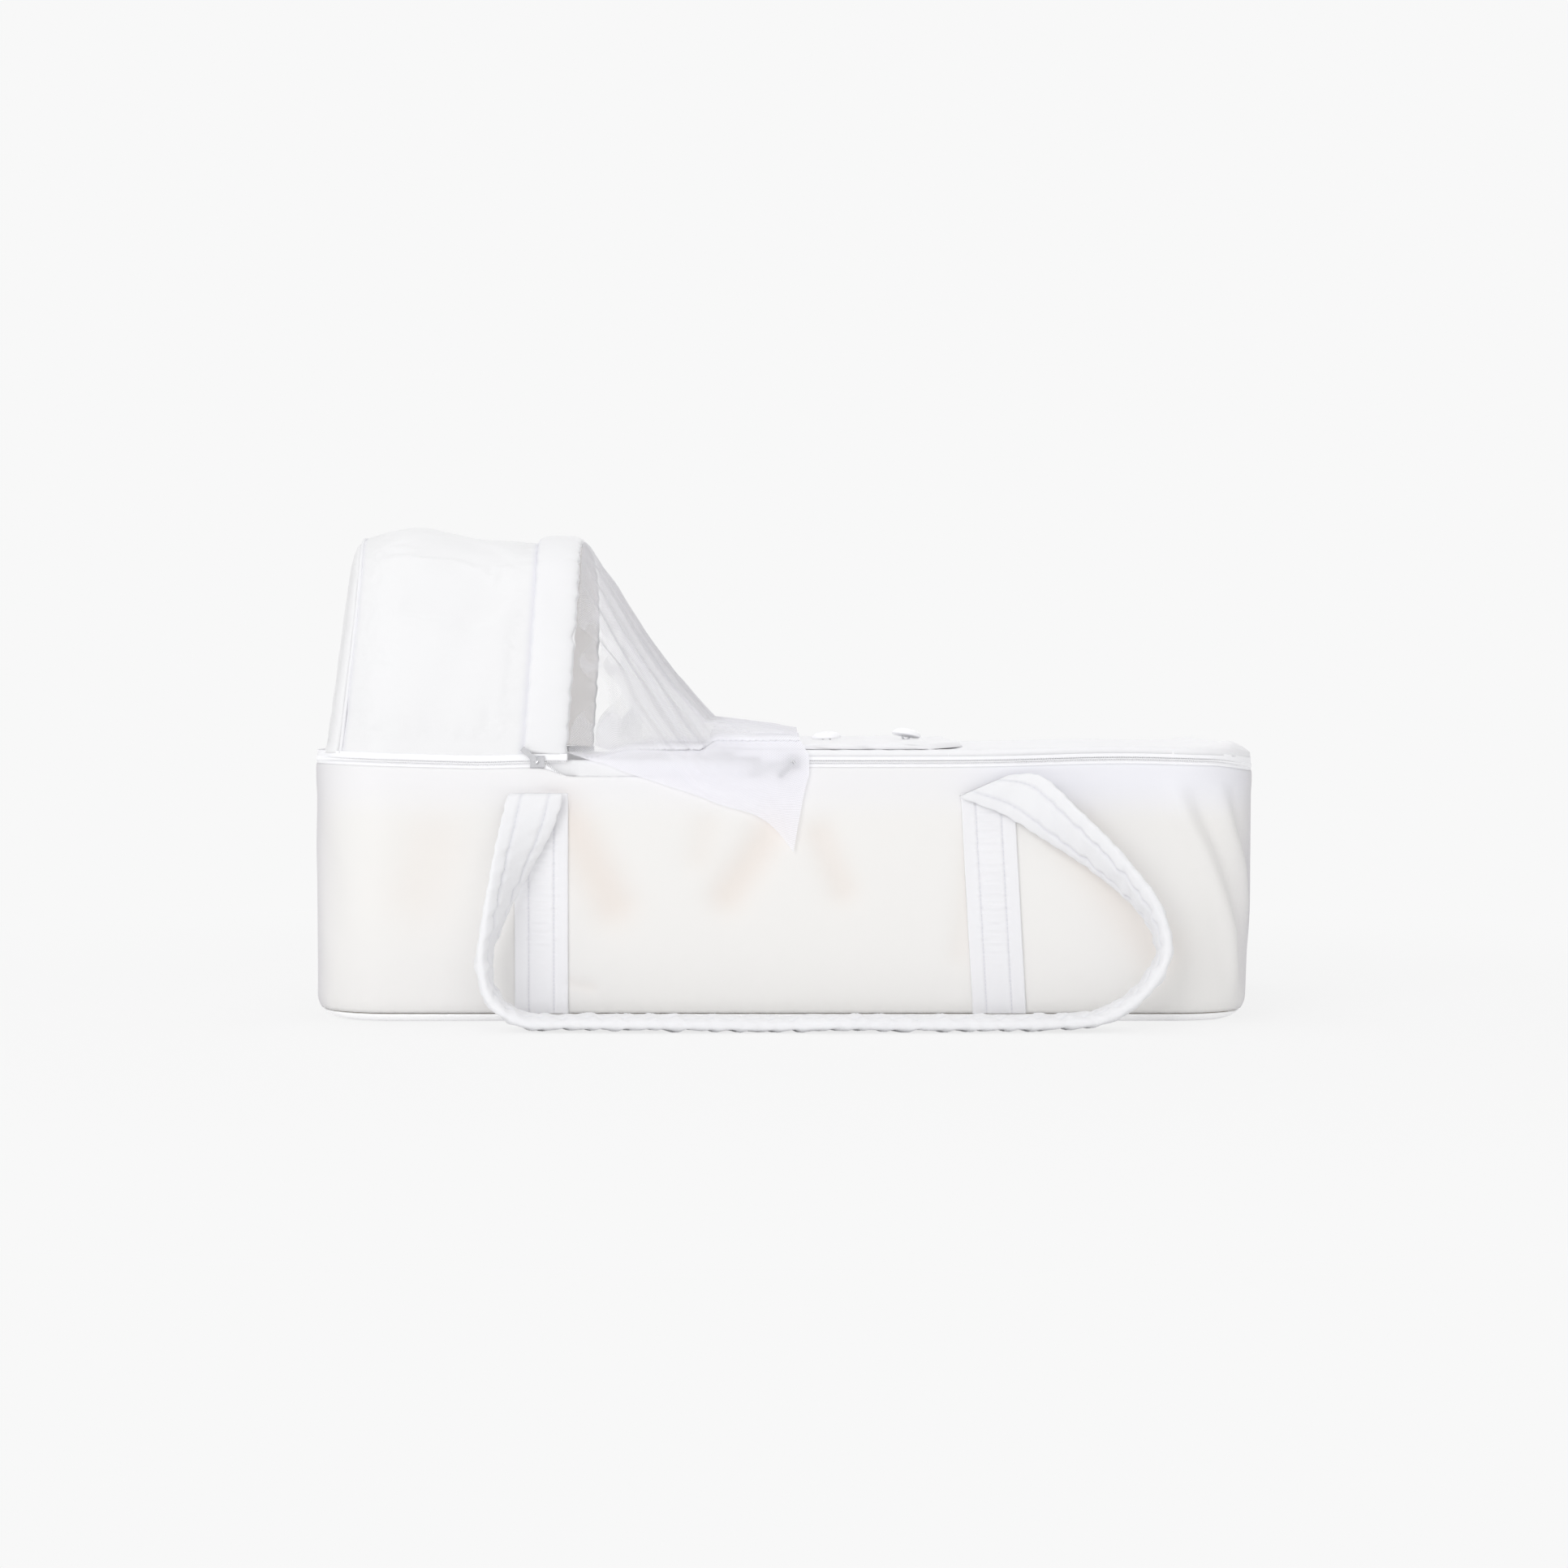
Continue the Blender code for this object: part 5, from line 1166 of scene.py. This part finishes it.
def arch_tube(name, x, inset, across, through):
    """A tube along the arch. Across and through are its section's points, one row for each place along it."""
    middle, wide, outward = arch_frame(x, inset, arch_share)
    points = middle[:, None] + wide[:, None] * across[..., None] + outward[:, None] * through[..., None]
    return surface(name, points, close_columns=True, caps=(0, -1))


on_arch = arch_length.T
PIPING_RADIUS = 1.5 * MM
ring_across, ring_through = superellipse(1.0, 1.0, 2.0, 14)
cord = PIPING_RADIUS * (1 + 0.07 * ripple(on_arch, 6 * MM, 0.4))
piping_inset = PIPING_RADIUS * 0.75 + 0.15 * MM * ripple(arch_length[0], 40 * MM, 0.2)
piping = arch_tube("hood_rear_piping_cord", HOOD_REAR, piping_inset, cord * ring_across, cord * ring_through)
finish_piece(piping, quilted, "hood", "quilted_cotton", "hood_rear_piping")

# Hood front band
# A wide padded hem holds the sprung bow. It is gathered by its two seams, so both of its edges are scalloped,
# and a narrow bound edge in front of it carries the net.

BAND_MIDDLE = -200.4 * MM
BAND_HALF = 18.2 * MM
BAND_THROUGH = 5.6 * MM
band_across, band_through = superellipse(1.0, 1.0, 2.7, 48)
scallop = ripple(on_arch, 16 * MM, 1.9)
other_scallop = ripple(on_arch, 21 * MM, 0.3)
edge_front = step(band_across, 0.55, 1.0)
edge_rear = step(-band_across, 0.55, 1.0)
band_height = arch(BAND_MIDDLE, 0.0, arch_share)[:, 2:]
notch = 1.5 * MM * bell(band_height - 0.326, 5 * MM)
band_width = BAND_HALF + (1.0 * MM * scallop - notch) * edge_front + 0.6 * MM * other_scallop * edge_rear
band_tucks = 0.45 * MM * scallop * bell(band_across - 0.72, 0.22)
band_tucks = band_tucks + 0.4 * MM * other_scallop * bell(band_across + 0.75, 0.2)
band_swell = 0.5 * MM * ripple(on_arch, 52 * MM, 0.8) * bell(band_across, 0.6)
band_out = BAND_THROUGH * band_through + (band_tucks + band_swell) * np.clip(3 * band_through, -1, 1)
band = arch_tube("hood_front_hem", BAND_MIDDLE, 4.5 * MM, band_width * band_across, band_out)
add_mask(band, "inner_face_glow", step(-band_through, 0.2, 0.7) + 0 * on_arch)
# Painted shade along the band's rear seam.
add_mask(band, "seam", 0.8 * step(-band_across, 0.82, 1.0) + 0 * on_arch)
hem_sateen = cloth_material("hem_sateen", (0.872, 0.872, 0.885), (0.86, 0.86, 0.875), *SATEEN_WEAVE, 30, 0.3, 0.12)
paint_shading(hem_sateen, "seam", SEAM_SHADE)
# Painted light: the band's inner face glows a warm beige, for the light inside the hood.
tree = hem_sateen.node_tree
hem_shader = tree.nodes["Principled BSDF"]
set_glow(hem_shader, (1.0, 0.93, 0.86), 0.0)
wire(tree, (maths(tree, "MULTIPLY", mask_value(tree, "inner_face_glow"), 0.48 * LIGHT_THROUGH),
            hem_shader.inputs["Emission Strength"]))
finish_piece(band, hem_sateen, "hood", "quilted_cotton", "hood_front_band")

net_band_out = 1.0 * MM * (1 + 0.12 * ripple(on_arch, 7 * MM, 0.6)) * ring_through
net_band_wide = (2.0 * MM + 0.35 * MM * scallop) * ring_across + 0.5 * MM * scallop
net_band_inset = 5.6 * MM + 0.3 * MM * scallop[:, 0]
net_band = arch_tube("net_binding", HOOD_FRONT - 2.6 * MM, net_band_inset, net_band_wide, net_band_out)
finish_piece(net_band, cotton, "hood", "quilted_cotton", "net_band")

# Mosquito net
# One panel of hexagonal tulle, gathered into the bound edge of the hood. It falls over the opening, bends over
# the apron's fold and over both sides of the rim, and hangs down each side in a corner.

NET_ROWS, NET_COLUMNS = 230, 460
FOLD_X = -66 * MM
FOLD_SHARE = 0.6
TULLE_HOLE = 1.1 * MM
net_share = np.linspace(0, 1, NET_COLUMNS)
near_edge = np.minimum(net_share, 1 - net_share)
net_side = np.where(net_share < 0.5, -1.0, 1.0)
LOW_EDGE, INNER_EDGE = 0.12, 0.185
NET_WIDTH = 1.05
net_places = np.array([0.0, LOW_EDGE, INNER_EDGE, 0.215, 0.34, 0.5])
fold_keys = np.array([(-188.5, 189), (-187.5, 229), (-185.5, 250), (-181, 253), (-101, 254), (0, 254)]) * MM
hem_keys = np.array([(-188.5, 143.7), (-188.5, 208), (-186, 240), (-182, 244), (-101, 245.5), (0, 245.5)]) * MM
fold_row = smooth_line(fold_keys, net_places, near_edge)
hem_row = smooth_line(hem_keys, net_places, near_edge)
net_t = np.linspace(0, 1, NET_ROWS)[:, None, None]
first = np.clip(net_t / FOLD_SHARE, 0, 1)
second = np.clip((net_t - FOLD_SHARE) / (1 - FOLD_SHARE), 0, 1)
gathered = arch(HOOD_FRONT, 4.5 * MM, np.interp(net_share, np.linspace(0, 1, 300), arch_share))
fold_line = joined(FOLD_X, -fold_row[:, 0] * net_side, fold_row[:, 1])
low_edge = np.clip(1 - near_edge / LOW_EDGE, 0, 1)
hem_x = (21 - 13 * low_edge ** 0.8 - 9 * step(hem_row[:, 1], 0.222, 0.243)) * MM
hem_line = joined(hem_x, -hem_row[:, 0] * net_side, hem_row[:, 1])
gathered[:, 0] += 0.8 * MM
net = gathered + (fold_line - gathered) * first + (hem_line - fold_line) * second
spread_out, past_fold = first[..., 0], second[..., 0]
net[..., 2] -= 7 * MM * np.sin(math.pi * spread_out) * step(near_edge, 0.15, 0.3)
net[..., 2] += 12 * MM * np.sin(math.pi * past_fold ** 1.6) * low_edge
along_net = net_share * NET_WIDTH
folds = 1.0 * MM * ripple(along_net + 0.03 * spread_out, 74 * MM, 0.8) * np.sin(math.pi * (0.08 + 0.84 * spread_out))
folds = folds * step(near_edge, 0.1, 0.2)
pleat = 0.35 * step(near_edge, 0.40, 0.47) * np.ones_like(spread_out)
# A swag is its place across the net at the hood and at the fold, its depth in millimetres and its width.
SWAGS = ((0.300, 0.105, 6.0, 0.020), (0.250, 0.055, 5.0, 0.017), (0.370, 0.185, 4.0, 0.022),
         (0.205, 0.02, 3.5, 0.013))
fade_out = step(spread_out, 0.02, 0.2) * (1 - 0.75 * past_fold)
for swag_start, swag_end, swag_depth, swag_width in SWAGS:
    from_swag = near_edge - swag_start - (swag_end - swag_start) * spread_out
    hump = bell(from_swag, swag_width) - 0.5 * bell(from_swag - 2 * swag_width, swag_width)
    folds = folds + swag_depth * MM * hump * fade_out
    pleat = pleat + 0.65 * fade_out * bell(from_swag - 0.5 * swag_width, 1.2 * swag_width)
hang = past_fold * step(near_edge, 0.0, 0.02)
edge_waves = ripple(near_edge * NET_WIDTH + 0.04 * past_fold, 34 * MM, 1.4) * low_edge ** 0.5
folds = folds + (0.6 * edge_waves + 0.8 * ripple(along_net + 0.1 * past_fold, 70 * MM, 0.6)) * MM * hang
net[..., 2] -= 7 * MM * past_fold ** 4 * step(near_edge, 0.2, 0.3)
net = net + upward_normals(net) * folds[..., None]
bunch = 11 * MM * bell(spread_out - 0.27, 0.09) * bell(near_edge - 0.045, 0.03)
net[..., 2] += bunch
net[..., 1] += net_side * 0.35 * bunch
opening_near = 22 * MM * bell(gathered[:, 2] - 0.277, 17 * MM) + 14 * MM * bell(gathered[:, 2] - 0.323, 13 * MM)
loose = opening_near * step(np.abs(gathered[:, 1]), 0.165, 0.172)
net[..., 0] += loose * (1 - spread_out) ** 3
FOLD_RADIUS = 10 * MM
FOLD_AXIS_X = -62 * MM + FOLD_RADIUS
FOLD_AXIS_Z = SHELL_BASE + 5 * MM + FOLD_RADIUS
FLAP_TOP = 237.2 * MM
RIM_TOP, RIM_PUFF = 222.4 * MM, 229.5 * MM
DRAPE_EDGE, DRAPE_ROUND = half_width + 4.0 * MM, 7 * MM
net_x, net_z = net[..., 0], net[..., 2]
drape_top = RIM_TOP + (RIM_PUFF - RIM_TOP) * step(net_x, -0.165, -0.125)
drape_top = drape_top + (FLAP_TOP - RIM_PUFF) * step(net_x, -0.072, -0.055)
over_roll = np.maximum((FOLD_RADIUS + 0.8 * MM) ** 2 - (net_x - FOLD_AXIS_X) ** 2, 0)
roll_top = np.where(over_roll > 0, FOLD_AXIS_Z + np.sqrt(over_roll), 0)
carried = np.maximum(roll_top, np.where(net_x > FOLD_AXIS_X, FLAP_TOP, RIM_TOP))
inner = np.broadcast_to(near_edge > INNER_EDGE, net_z.shape)
net_z = np.where(inner, np.maximum(net_z, carried), net_z)
under_top = np.clip((net_z - drape_top + DRAPE_ROUND) / DRAPE_ROUND, 0, 1)
drape_y = DRAPE_EDGE + 0.5 * folds * low_edge - DRAPE_ROUND * (1 - np.sqrt(1 - under_top ** 2))
hanging = ~inner & (net_z < drape_top)
net[..., 1] = net_side * np.where(hanging, drape_y, np.minimum(np.abs(net[..., 1]), DRAPE_EDGE))
net[..., 2] = net_z
doubled = np.where(inner, 0.0, 1 - step(net_z, drape_top + 0.5 * MM, drape_top + 7 * MM))
doubled = np.maximum(doubled, 0.55 * step(bunch, 1.5 * MM, 8 * MM))
# A gap between the folds is the x and the height of its middle, half its width and half its height, in millimetres.
OPENINGS = ((-158, 273, 12, 22), (-161, 319, 8, 17))
opening = 0 * net_z
for open_x, open_z, open_wide, open_tall in OPENINGS:
    from_middle = np.hypot((net[..., 0] / MM - open_x) / open_wide, (net_z / MM - open_z) / open_tall)
    beside = np.abs(net[..., 1]) > 0.12
    opening = np.maximum(opening, np.where(beside, 1 - step(from_middle, 0.8, 1.15), 0))
    pleat = pleat + np.where(beside, 0.25 * bell(from_middle - 1.3, 0.25), 0)


def tulle_material():
    """Tulle: a film of fine threads that lets most light through face on and closes up where it is seen
    edgewise, with a pattern of threads crossing at sixty degrees for close looks."""
    film_cover, thread_cover, pleat_cover, doubled_cover, most_cover = 0.17, 0.24, 0.26, 0.52, 0.96
    thin_line, least_facing = 6.0, 0.28
    made, tree, shader = new_material("white_tulle")
    doubled, pleats, opening = [mask_value(tree, name) for name in ("doubled", "pleat", "opening")]
    # Painted shade and light: a single layer is coloured a lilac grey for the shade on it, and the doubled cloth a
    # brighter white.
    white = mixed_colour(tree, doubled, (0.86, 0.855, 0.885), (0.955, 0.95, 0.985))
    set_glow(shader, (0.95, 0.95, 1.0), 0.0)
    shader.inputs["Roughness"].default_value = 0.8
    shader.inputs["Specular IOR Level"].default_value = 0.2
    edgewise = add_node(tree, "LayerWeight", {"Blend": 0.5}).outputs["Facing"]
    cosine = maths(tree, "MAXIMUM", maths(tree, "SUBTRACT", 1.0, edgewise), least_facing)
    split = add_node(tree, "SeparateXYZ")
    tree.links.new(add_node(tree, "UVMap", uv_map="cloth").outputs[0], split.inputs[0])
    lines = []
    for slope in (0.577, -0.577):
        place = maths(tree, "ADD", split.outputs[0], maths(tree, "MULTIPLY", split.outputs[1], slope))
        wave = maths(tree, "SINE", maths(tree, "MULTIPLY", place, math.pi / TULLE_HOLE))
        lines.append(maths(tree, "POWER", maths(tree, "ABSOLUTE", wave), thin_line))
    film = maths(tree, "ADD", maths(tree, "MULTIPLY", pleats, pleat_cover), film_cover)
    film = maths(tree, "ADD", maths(tree, "MULTIPLY", doubled, doubled_cover), film)
    threads = maths(tree, "MULTIPLY", maths(tree, "MAXIMUM", *lines), thread_cover)
    cover = maths(tree, "MINIMUM", maths(tree, "ADD", threads, film), most_cover)
    closed = maths(tree, "SUBTRACT", 1.0, maths(tree, "MULTIPLY", opening, 0.6))
    cover = maths(tree, "MULTIPLY", cover, closed)
    clear = maths(tree, "POWER", maths(tree, "SUBTRACT", 1.0, cover), maths(tree, "DIVIDE", 1.0, cosine))
    covered = maths(tree, "SUBTRACT", 1.0, clear)
    # Painted light: the tulle glows a little, and more where it is doubled.
    glowing = maths(tree, "ADD", maths(tree, "MULTIPLY", doubled, 0.06), 0.05)
    lit_through = add_node(tree, "BsdfTranslucent")
    lit = add_node(tree, "MixShader")
    both = add_node(tree, "MixShader", {0: 0.45})
    wire(tree, (covered, shader.inputs["Alpha"]), (glowing, shader.inputs["Emission Strength"]),
         (white, shader.inputs["Base Color"]), (white, lit_through.inputs["Color"]), (covered, lit.inputs[0]),
         (add_node(tree, "BsdfTransparent").outputs[0], lit.inputs[1]), (lit_through.outputs[0], lit.inputs[2]),
         (shader.outputs[0], both.inputs[1]), (lit.outputs[0], both.inputs[2]),
         (both.outputs[0], tree.nodes["Material Output"].inputs[0]))
    return made


net_cloth = surface("mosquito_net_tulle", net)
for mask_name, values in (("pleat", pleat), ("doubled", doubled), ("opening", opening)):
    add_mask(net_cloth, mask_name, values)
finish_piece(net_cloth, tulle_material(), "net", "tulle", "mosquito_net")
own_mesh(net_cloth)

# Apron
# A padded sateen panel zipped round the foot end. Its edge is rolled over the zip tape, and it stands a
# little fuller near the foot, where the filling has been pushed together.

APRON_START = -41.7 * MM
APRON_CLOTH = 5 * MM
APRON_EDGE = 2.5 * MM
APRON_CROWN, APRON_FULL = -1.2 * MM, 4.5 * MM
apron_end = half_length - 0.8 * MM


def apron_half(x):
    """Half the apron's width: it follows the bed's corner at the foot end, as the hood does at the head end."""
    return hood_half(-x)


def apron_height(x, share):
    """Height of the apron's top at a place x and a share of its half width: rolled edges, a low crown and the
    fuller stretch near the foot."""
    past_end = np.clip(1 - (apron_end - x) / (16 * MM), 0, 1)
    edge = (1 - np.abs(share) ** 9) * (1 - past_end ** 3)
    crown = APRON_CROWN * (1 - np.abs(share) ** 2.5)
    full = APRON_FULL * bell(x - apron_end + 20 * MM, 26 * MM)
    return SHELL_BASE + APRON_EDGE + (APRON_CLOTH - APRON_EDGE + crown + full) * edge


apron_t = np.linspace(0, 1, 240)[:, None]
apron_x = APRON_START + (apron_end - 0.2 * MM - APRON_START) * np.sin(apron_t * math.pi / 2) ** 0.8
apron_u = np.sin(np.linspace(-1, 1, 150) * math.pi / 2)[None, :]
apron_y = (apron_half(apron_x) + 0.5 * MM) * apron_u
apron_top = apron_height(apron_x, apron_u)
edge_off = np.minimum((1 - np.abs(apron_u)) * apron_half(apron_x), apron_end - apron_x)
edge_lift = zip_level(apron_x) * bell(edge_off, 25 * MM)
tucks = 0.5 * MM * ripple(apron_x + 2 * apron_y, 15 * MM, 0.7) * bell(edge_off - 6 * MM, 8 * MM)
swell = 0.8 * MM * ripple(apron_x + 0.5 * apron_y, 95 * MM, 1.3)
swell = swell + 0.6 * MM * ripple(apron_y - 0.3 * apron_x, 80 * MM, 2.5)
knob = 2.2 * MM * bell(apron_x - 0.378, 9 * MM) * bell(np.abs(apron_u) - 0.9, 0.14)
apron_top = apron_top + edge_lift + (tucks + swell * step(edge_off, 0, 25 * MM)) + knob
hem_drop = 2.8 * MM * (1 - step(edge_off, 0.5 * MM, 6 * MM))
apron_low = np.maximum(apron_top - APRON_CLOTH, SHELL_BASE + np.maximum(edge_lift, -3 * MM)) - hem_drop
apron_rim = np.sqrt(1 - np.clip(1 - edge_off / (3 * MM), 0, 1) ** 2)
apron_middle = SHELL_BASE + edge_lift + APRON_EDGE / 2 - 0.7 * hem_drop
near_rim = np.clip(edge_off / (5 * MM), 0, 1)
apron_top = np.where(near_rim < 1, apron_middle + (apron_top - apron_middle) * (0.25 + 0.75 * apron_rim), apron_top)
apron_shape = np.concatenate([joined(apron_x, apron_y, apron_top), joined(apron_x, apron_y, apron_low)[:, ::-1]],
                             axis=1)
apron = surface("apron_cloth", apron_shape, close_columns=True, caps=(0, -1))
apron_sateen = cloth_material("apron_sateen", (0.915, 0.91, 0.925), (0.89, 0.89, 0.91), 0.55, 0.3, 0.01, 40, 0.35,
                              0.12)
finish_piece(apron, apron_sateen, "apron", "cover_satin", "apron_panel")

# Turned-back flap
# The front of the apron is folded back on itself in a soft roll and lies on the rest, held by the two
# buttons on its middle line. Its free corners are rounded, and a small notch marks the end of its side seam.

FLAP_CLOTH = 4.5 * MM
FLAP_END = 152 * MM
SEAT = 0.3 * MM
flap_u = np.sin(np.linspace(-1, 1, 170) * math.pi / 2) * 0.985
flap_end = FLAP_END - 30 * MM * np.clip((np.abs(flap_u) - 0.72) / 0.265, 0, 1) ** 2.4
run = np.linspace(0, 1, 110)[:, None]
top_x = flap_end + (FOLD_AXIS_X + 27 * MM - flap_end) * run
thin_end = np.sqrt(np.clip((flap_end - top_x) / (5 * MM), 0.02, 1))
flap_side = (1 - np.abs(flap_u)) * apron_half(0.0)
thin_side = np.sqrt(np.clip(flap_side / (4 * MM), 0.05, 1))
body = FLAP_CLOTH * thin_end * thin_side
base = apron_height(top_x, flap_u) + SEAT
flap_y = flap_u * apron_half(0.0)
flap_across = flap_u * 180 * MM
flap_swell = 0.9 * MM * ripple(top_x - 0.6 * flap_across, 64 * MM, 0.5)
flap_swell = flap_swell + 0.6 * MM * ripple(flap_across + 0.4 * top_x, 48 * MM, 1.9)
flap_tucks = 0.4 * MM * ripple(top_x, 14 * MM, 2.0) * bell(flap_side - 6 * MM, 7 * MM)
crease_x, crease_y = np.broadcast_arrays(top_x / MM, np.abs(flap_u) * 184)
corner_crease = crease(crease_x, crease_y, (104, 150), (121, 172), 4.0, -1.6) * MM
flap_top = base + body + (flap_swell + flap_tucks + corner_crease) * thin_end * thin_side
flap_low = base + 0.2 * MM + 0 * body
roll = np.radians(np.linspace(76, 305, 46))[:, None]
sag = 3 * MM * np.abs(flap_u) ** 9
puff = 0.5 * MM * ripple(flap_across, 34 * MM, 0.4) * np.sin(np.linspace(0, math.pi, 46))[:, None]
roll_x = FOLD_AXIS_X + (FOLD_RADIUS + puff) * np.cos(roll)
roll_z = FOLD_AXIS_Z + (FOLD_RADIUS + puff) * np.sin(roll) - sag
flap_side_bulge = 0.9 * MM * ripple(top_x, 33 * MM, 1.1) * np.sign(flap_u) * bell(flap_side, 12 * MM)


def flap_rows(x, z, bulge=0.0):
    """Points of the flap from their x and z, one column for each place across."""
    return joined(x, flap_y + bulge, z)


flap_shape = np.concatenate([flap_rows(top_x, flap_top, flap_side_bulge), flap_rows(roll_x, roll_z),
                             flap_rows(top_x[::-1], flap_low[::-1], flap_side_bulge[::-1])])
flap = surface("apron_flap_cloth", flap_shape.transpose(1, 0, 2), close_columns=True, caps=(0, -1))
finish_piece(flap, apron_sateen, "flap", "cover_satin", "apron_flap")

# Buttons
# Two metal caps covered in the apron's sateen, each on a bent wire shank. They lean a little on their shanks.

BUTTON_RADIUS, BUTTON_HEIGHT = 13 * MM, 6.5 * MM
SHANK_RADIUS, SHANK_WIRE = 3.2 * MM, 0.8 * MM
# A button is its place along the bed, its two leans in degrees, and how far it is raised.
BUTTONS = ((38 * MM, 2, 0, -2.4 * MM), (109 * MM, -9, 8, 0.0))
cap_angle = np.linspace(0, 2 * math.pi, 72, endpoint=False)[None, :]
cap_share = np.array([0.02, 0.3, 0.55, 0.8, 0.9, 0.97, 1.0, 1.0, 0.975, 0.92, 0.84, 0.74, 0.62, 0.48, 0.33, 0.17,
                      0.03])
cap_height = np.array([0.10, 0.10, 0.09, 0.05, 0.03, 0.05, 0.14, 0.27, 0.40, 0.54, 0.66, 0.76, 0.85, 0.92, 0.965, 0.99,
                       1.0])
# Its glow is painted light, brightening the caps' shaded undersides.
button_cotton = cloth_material("button_sateen", (0.95, 0.95, 0.965), (0.93, 0.93, 0.95), 0.5, 0.35, 0.02, 9, 0.1, 0.1,
                               0.08)
nickel, tree, nickel_shader = new_material("bright_nickel")
nickel_shader.inputs["Metallic"].default_value = 1.0
nickel_shader.inputs["Base Color"].default_value = (0.58, 0.58, 0.60, 1.0)
nickel_place = add_node(tree, "TexCoord").outputs["Object"]
smears = group_node(tree, handling, Place=nickel_place, Crease_Size=3 * MM).outputs["Height"]
wire(tree, (maths(tree, "ADD", maths(tree, "MULTIPLY", smears, 0.18), 0.14), nickel_shader.inputs["Roughness"]))


def button_part(name, place, points, *finish):
    """A tube of the button, from its points about the button's own middle, put in its place."""
    turned = points @ np.array(place.to_3x3()).T + np.array(place.translation)
    finish_piece(surface(name, turned, close_columns=True, caps=(0, -1)), *finish)


for index, (button_x, tilt, roll_over, raised) in enumerate(BUTTONS, start=1):
    lift = apron_height(button_x, 0.0) + FLAP_CLOTH + SHANK_RADIUS + raised
    place = Matrix.Translation((button_x, 0, lift)) @ Matrix.Rotation(math.radians(-tilt), 4, "Y")
    place = place @ Matrix.Rotation(math.radians(-roll_over), 4, "X")
    tucked = 0.12 * MM * ripple(cap_angle * BUTTON_RADIUS, 3.1 * MM, index) * bell(cap_share - 0.97, 0.08)[:, None]
    radius = BUTTON_RADIUS * cap_share[:, None] + tucked
    cap = joined(radius * np.cos(cap_angle), radius * np.sin(cap_angle), SEAT + BUTTON_HEIGHT * cap_height[:, None])
    button_part(f"button_{index}_cap", place, cap, button_cotton, "flap", "button_cover", f"button_cap_{index}")
    bow = np.linspace(math.pi, 2 * math.pi, 25)[:, None]
    wire_angle = np.linspace(0, 2 * math.pi, 12, endpoint=False)[None, :]
    shank_reach = SHANK_RADIUS + SHANK_WIRE * np.cos(wire_angle)
    shank = joined(shank_reach * np.cos(bow), SHANK_WIRE * np.sin(wire_angle), shank_reach * np.sin(bow))
    button_part(f"button_{index}_shank", place, shank, nickel, "flap", "slider_metal", f"button_shank_{index}")

# Sliders and pulls
# Four nickel-plated zip sliders, each with a flat pull on a pin. They keep their CAD shapes, with their edges
# rounded as a casting's are.

slider_nodes = [f"{side_name}_{kind}_{part}" for kind in ("hood", "apron") for side_name in SIDES
                for part in ("slider", "pull")]
for name in slider_nodes + ["hood_bow"]:
    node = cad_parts[name]
    node.data.materials.clear()
    node.data.materials.append(nickel)
for name in slider_nodes:
    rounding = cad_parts[name].modifiers.new("cast_edges", "BEVEL")
    rounding.width = 0.28 * MM
    rounding.segments = 3
    rounding.limit_method = "ANGLE"

bpy.context.view_layer.update()
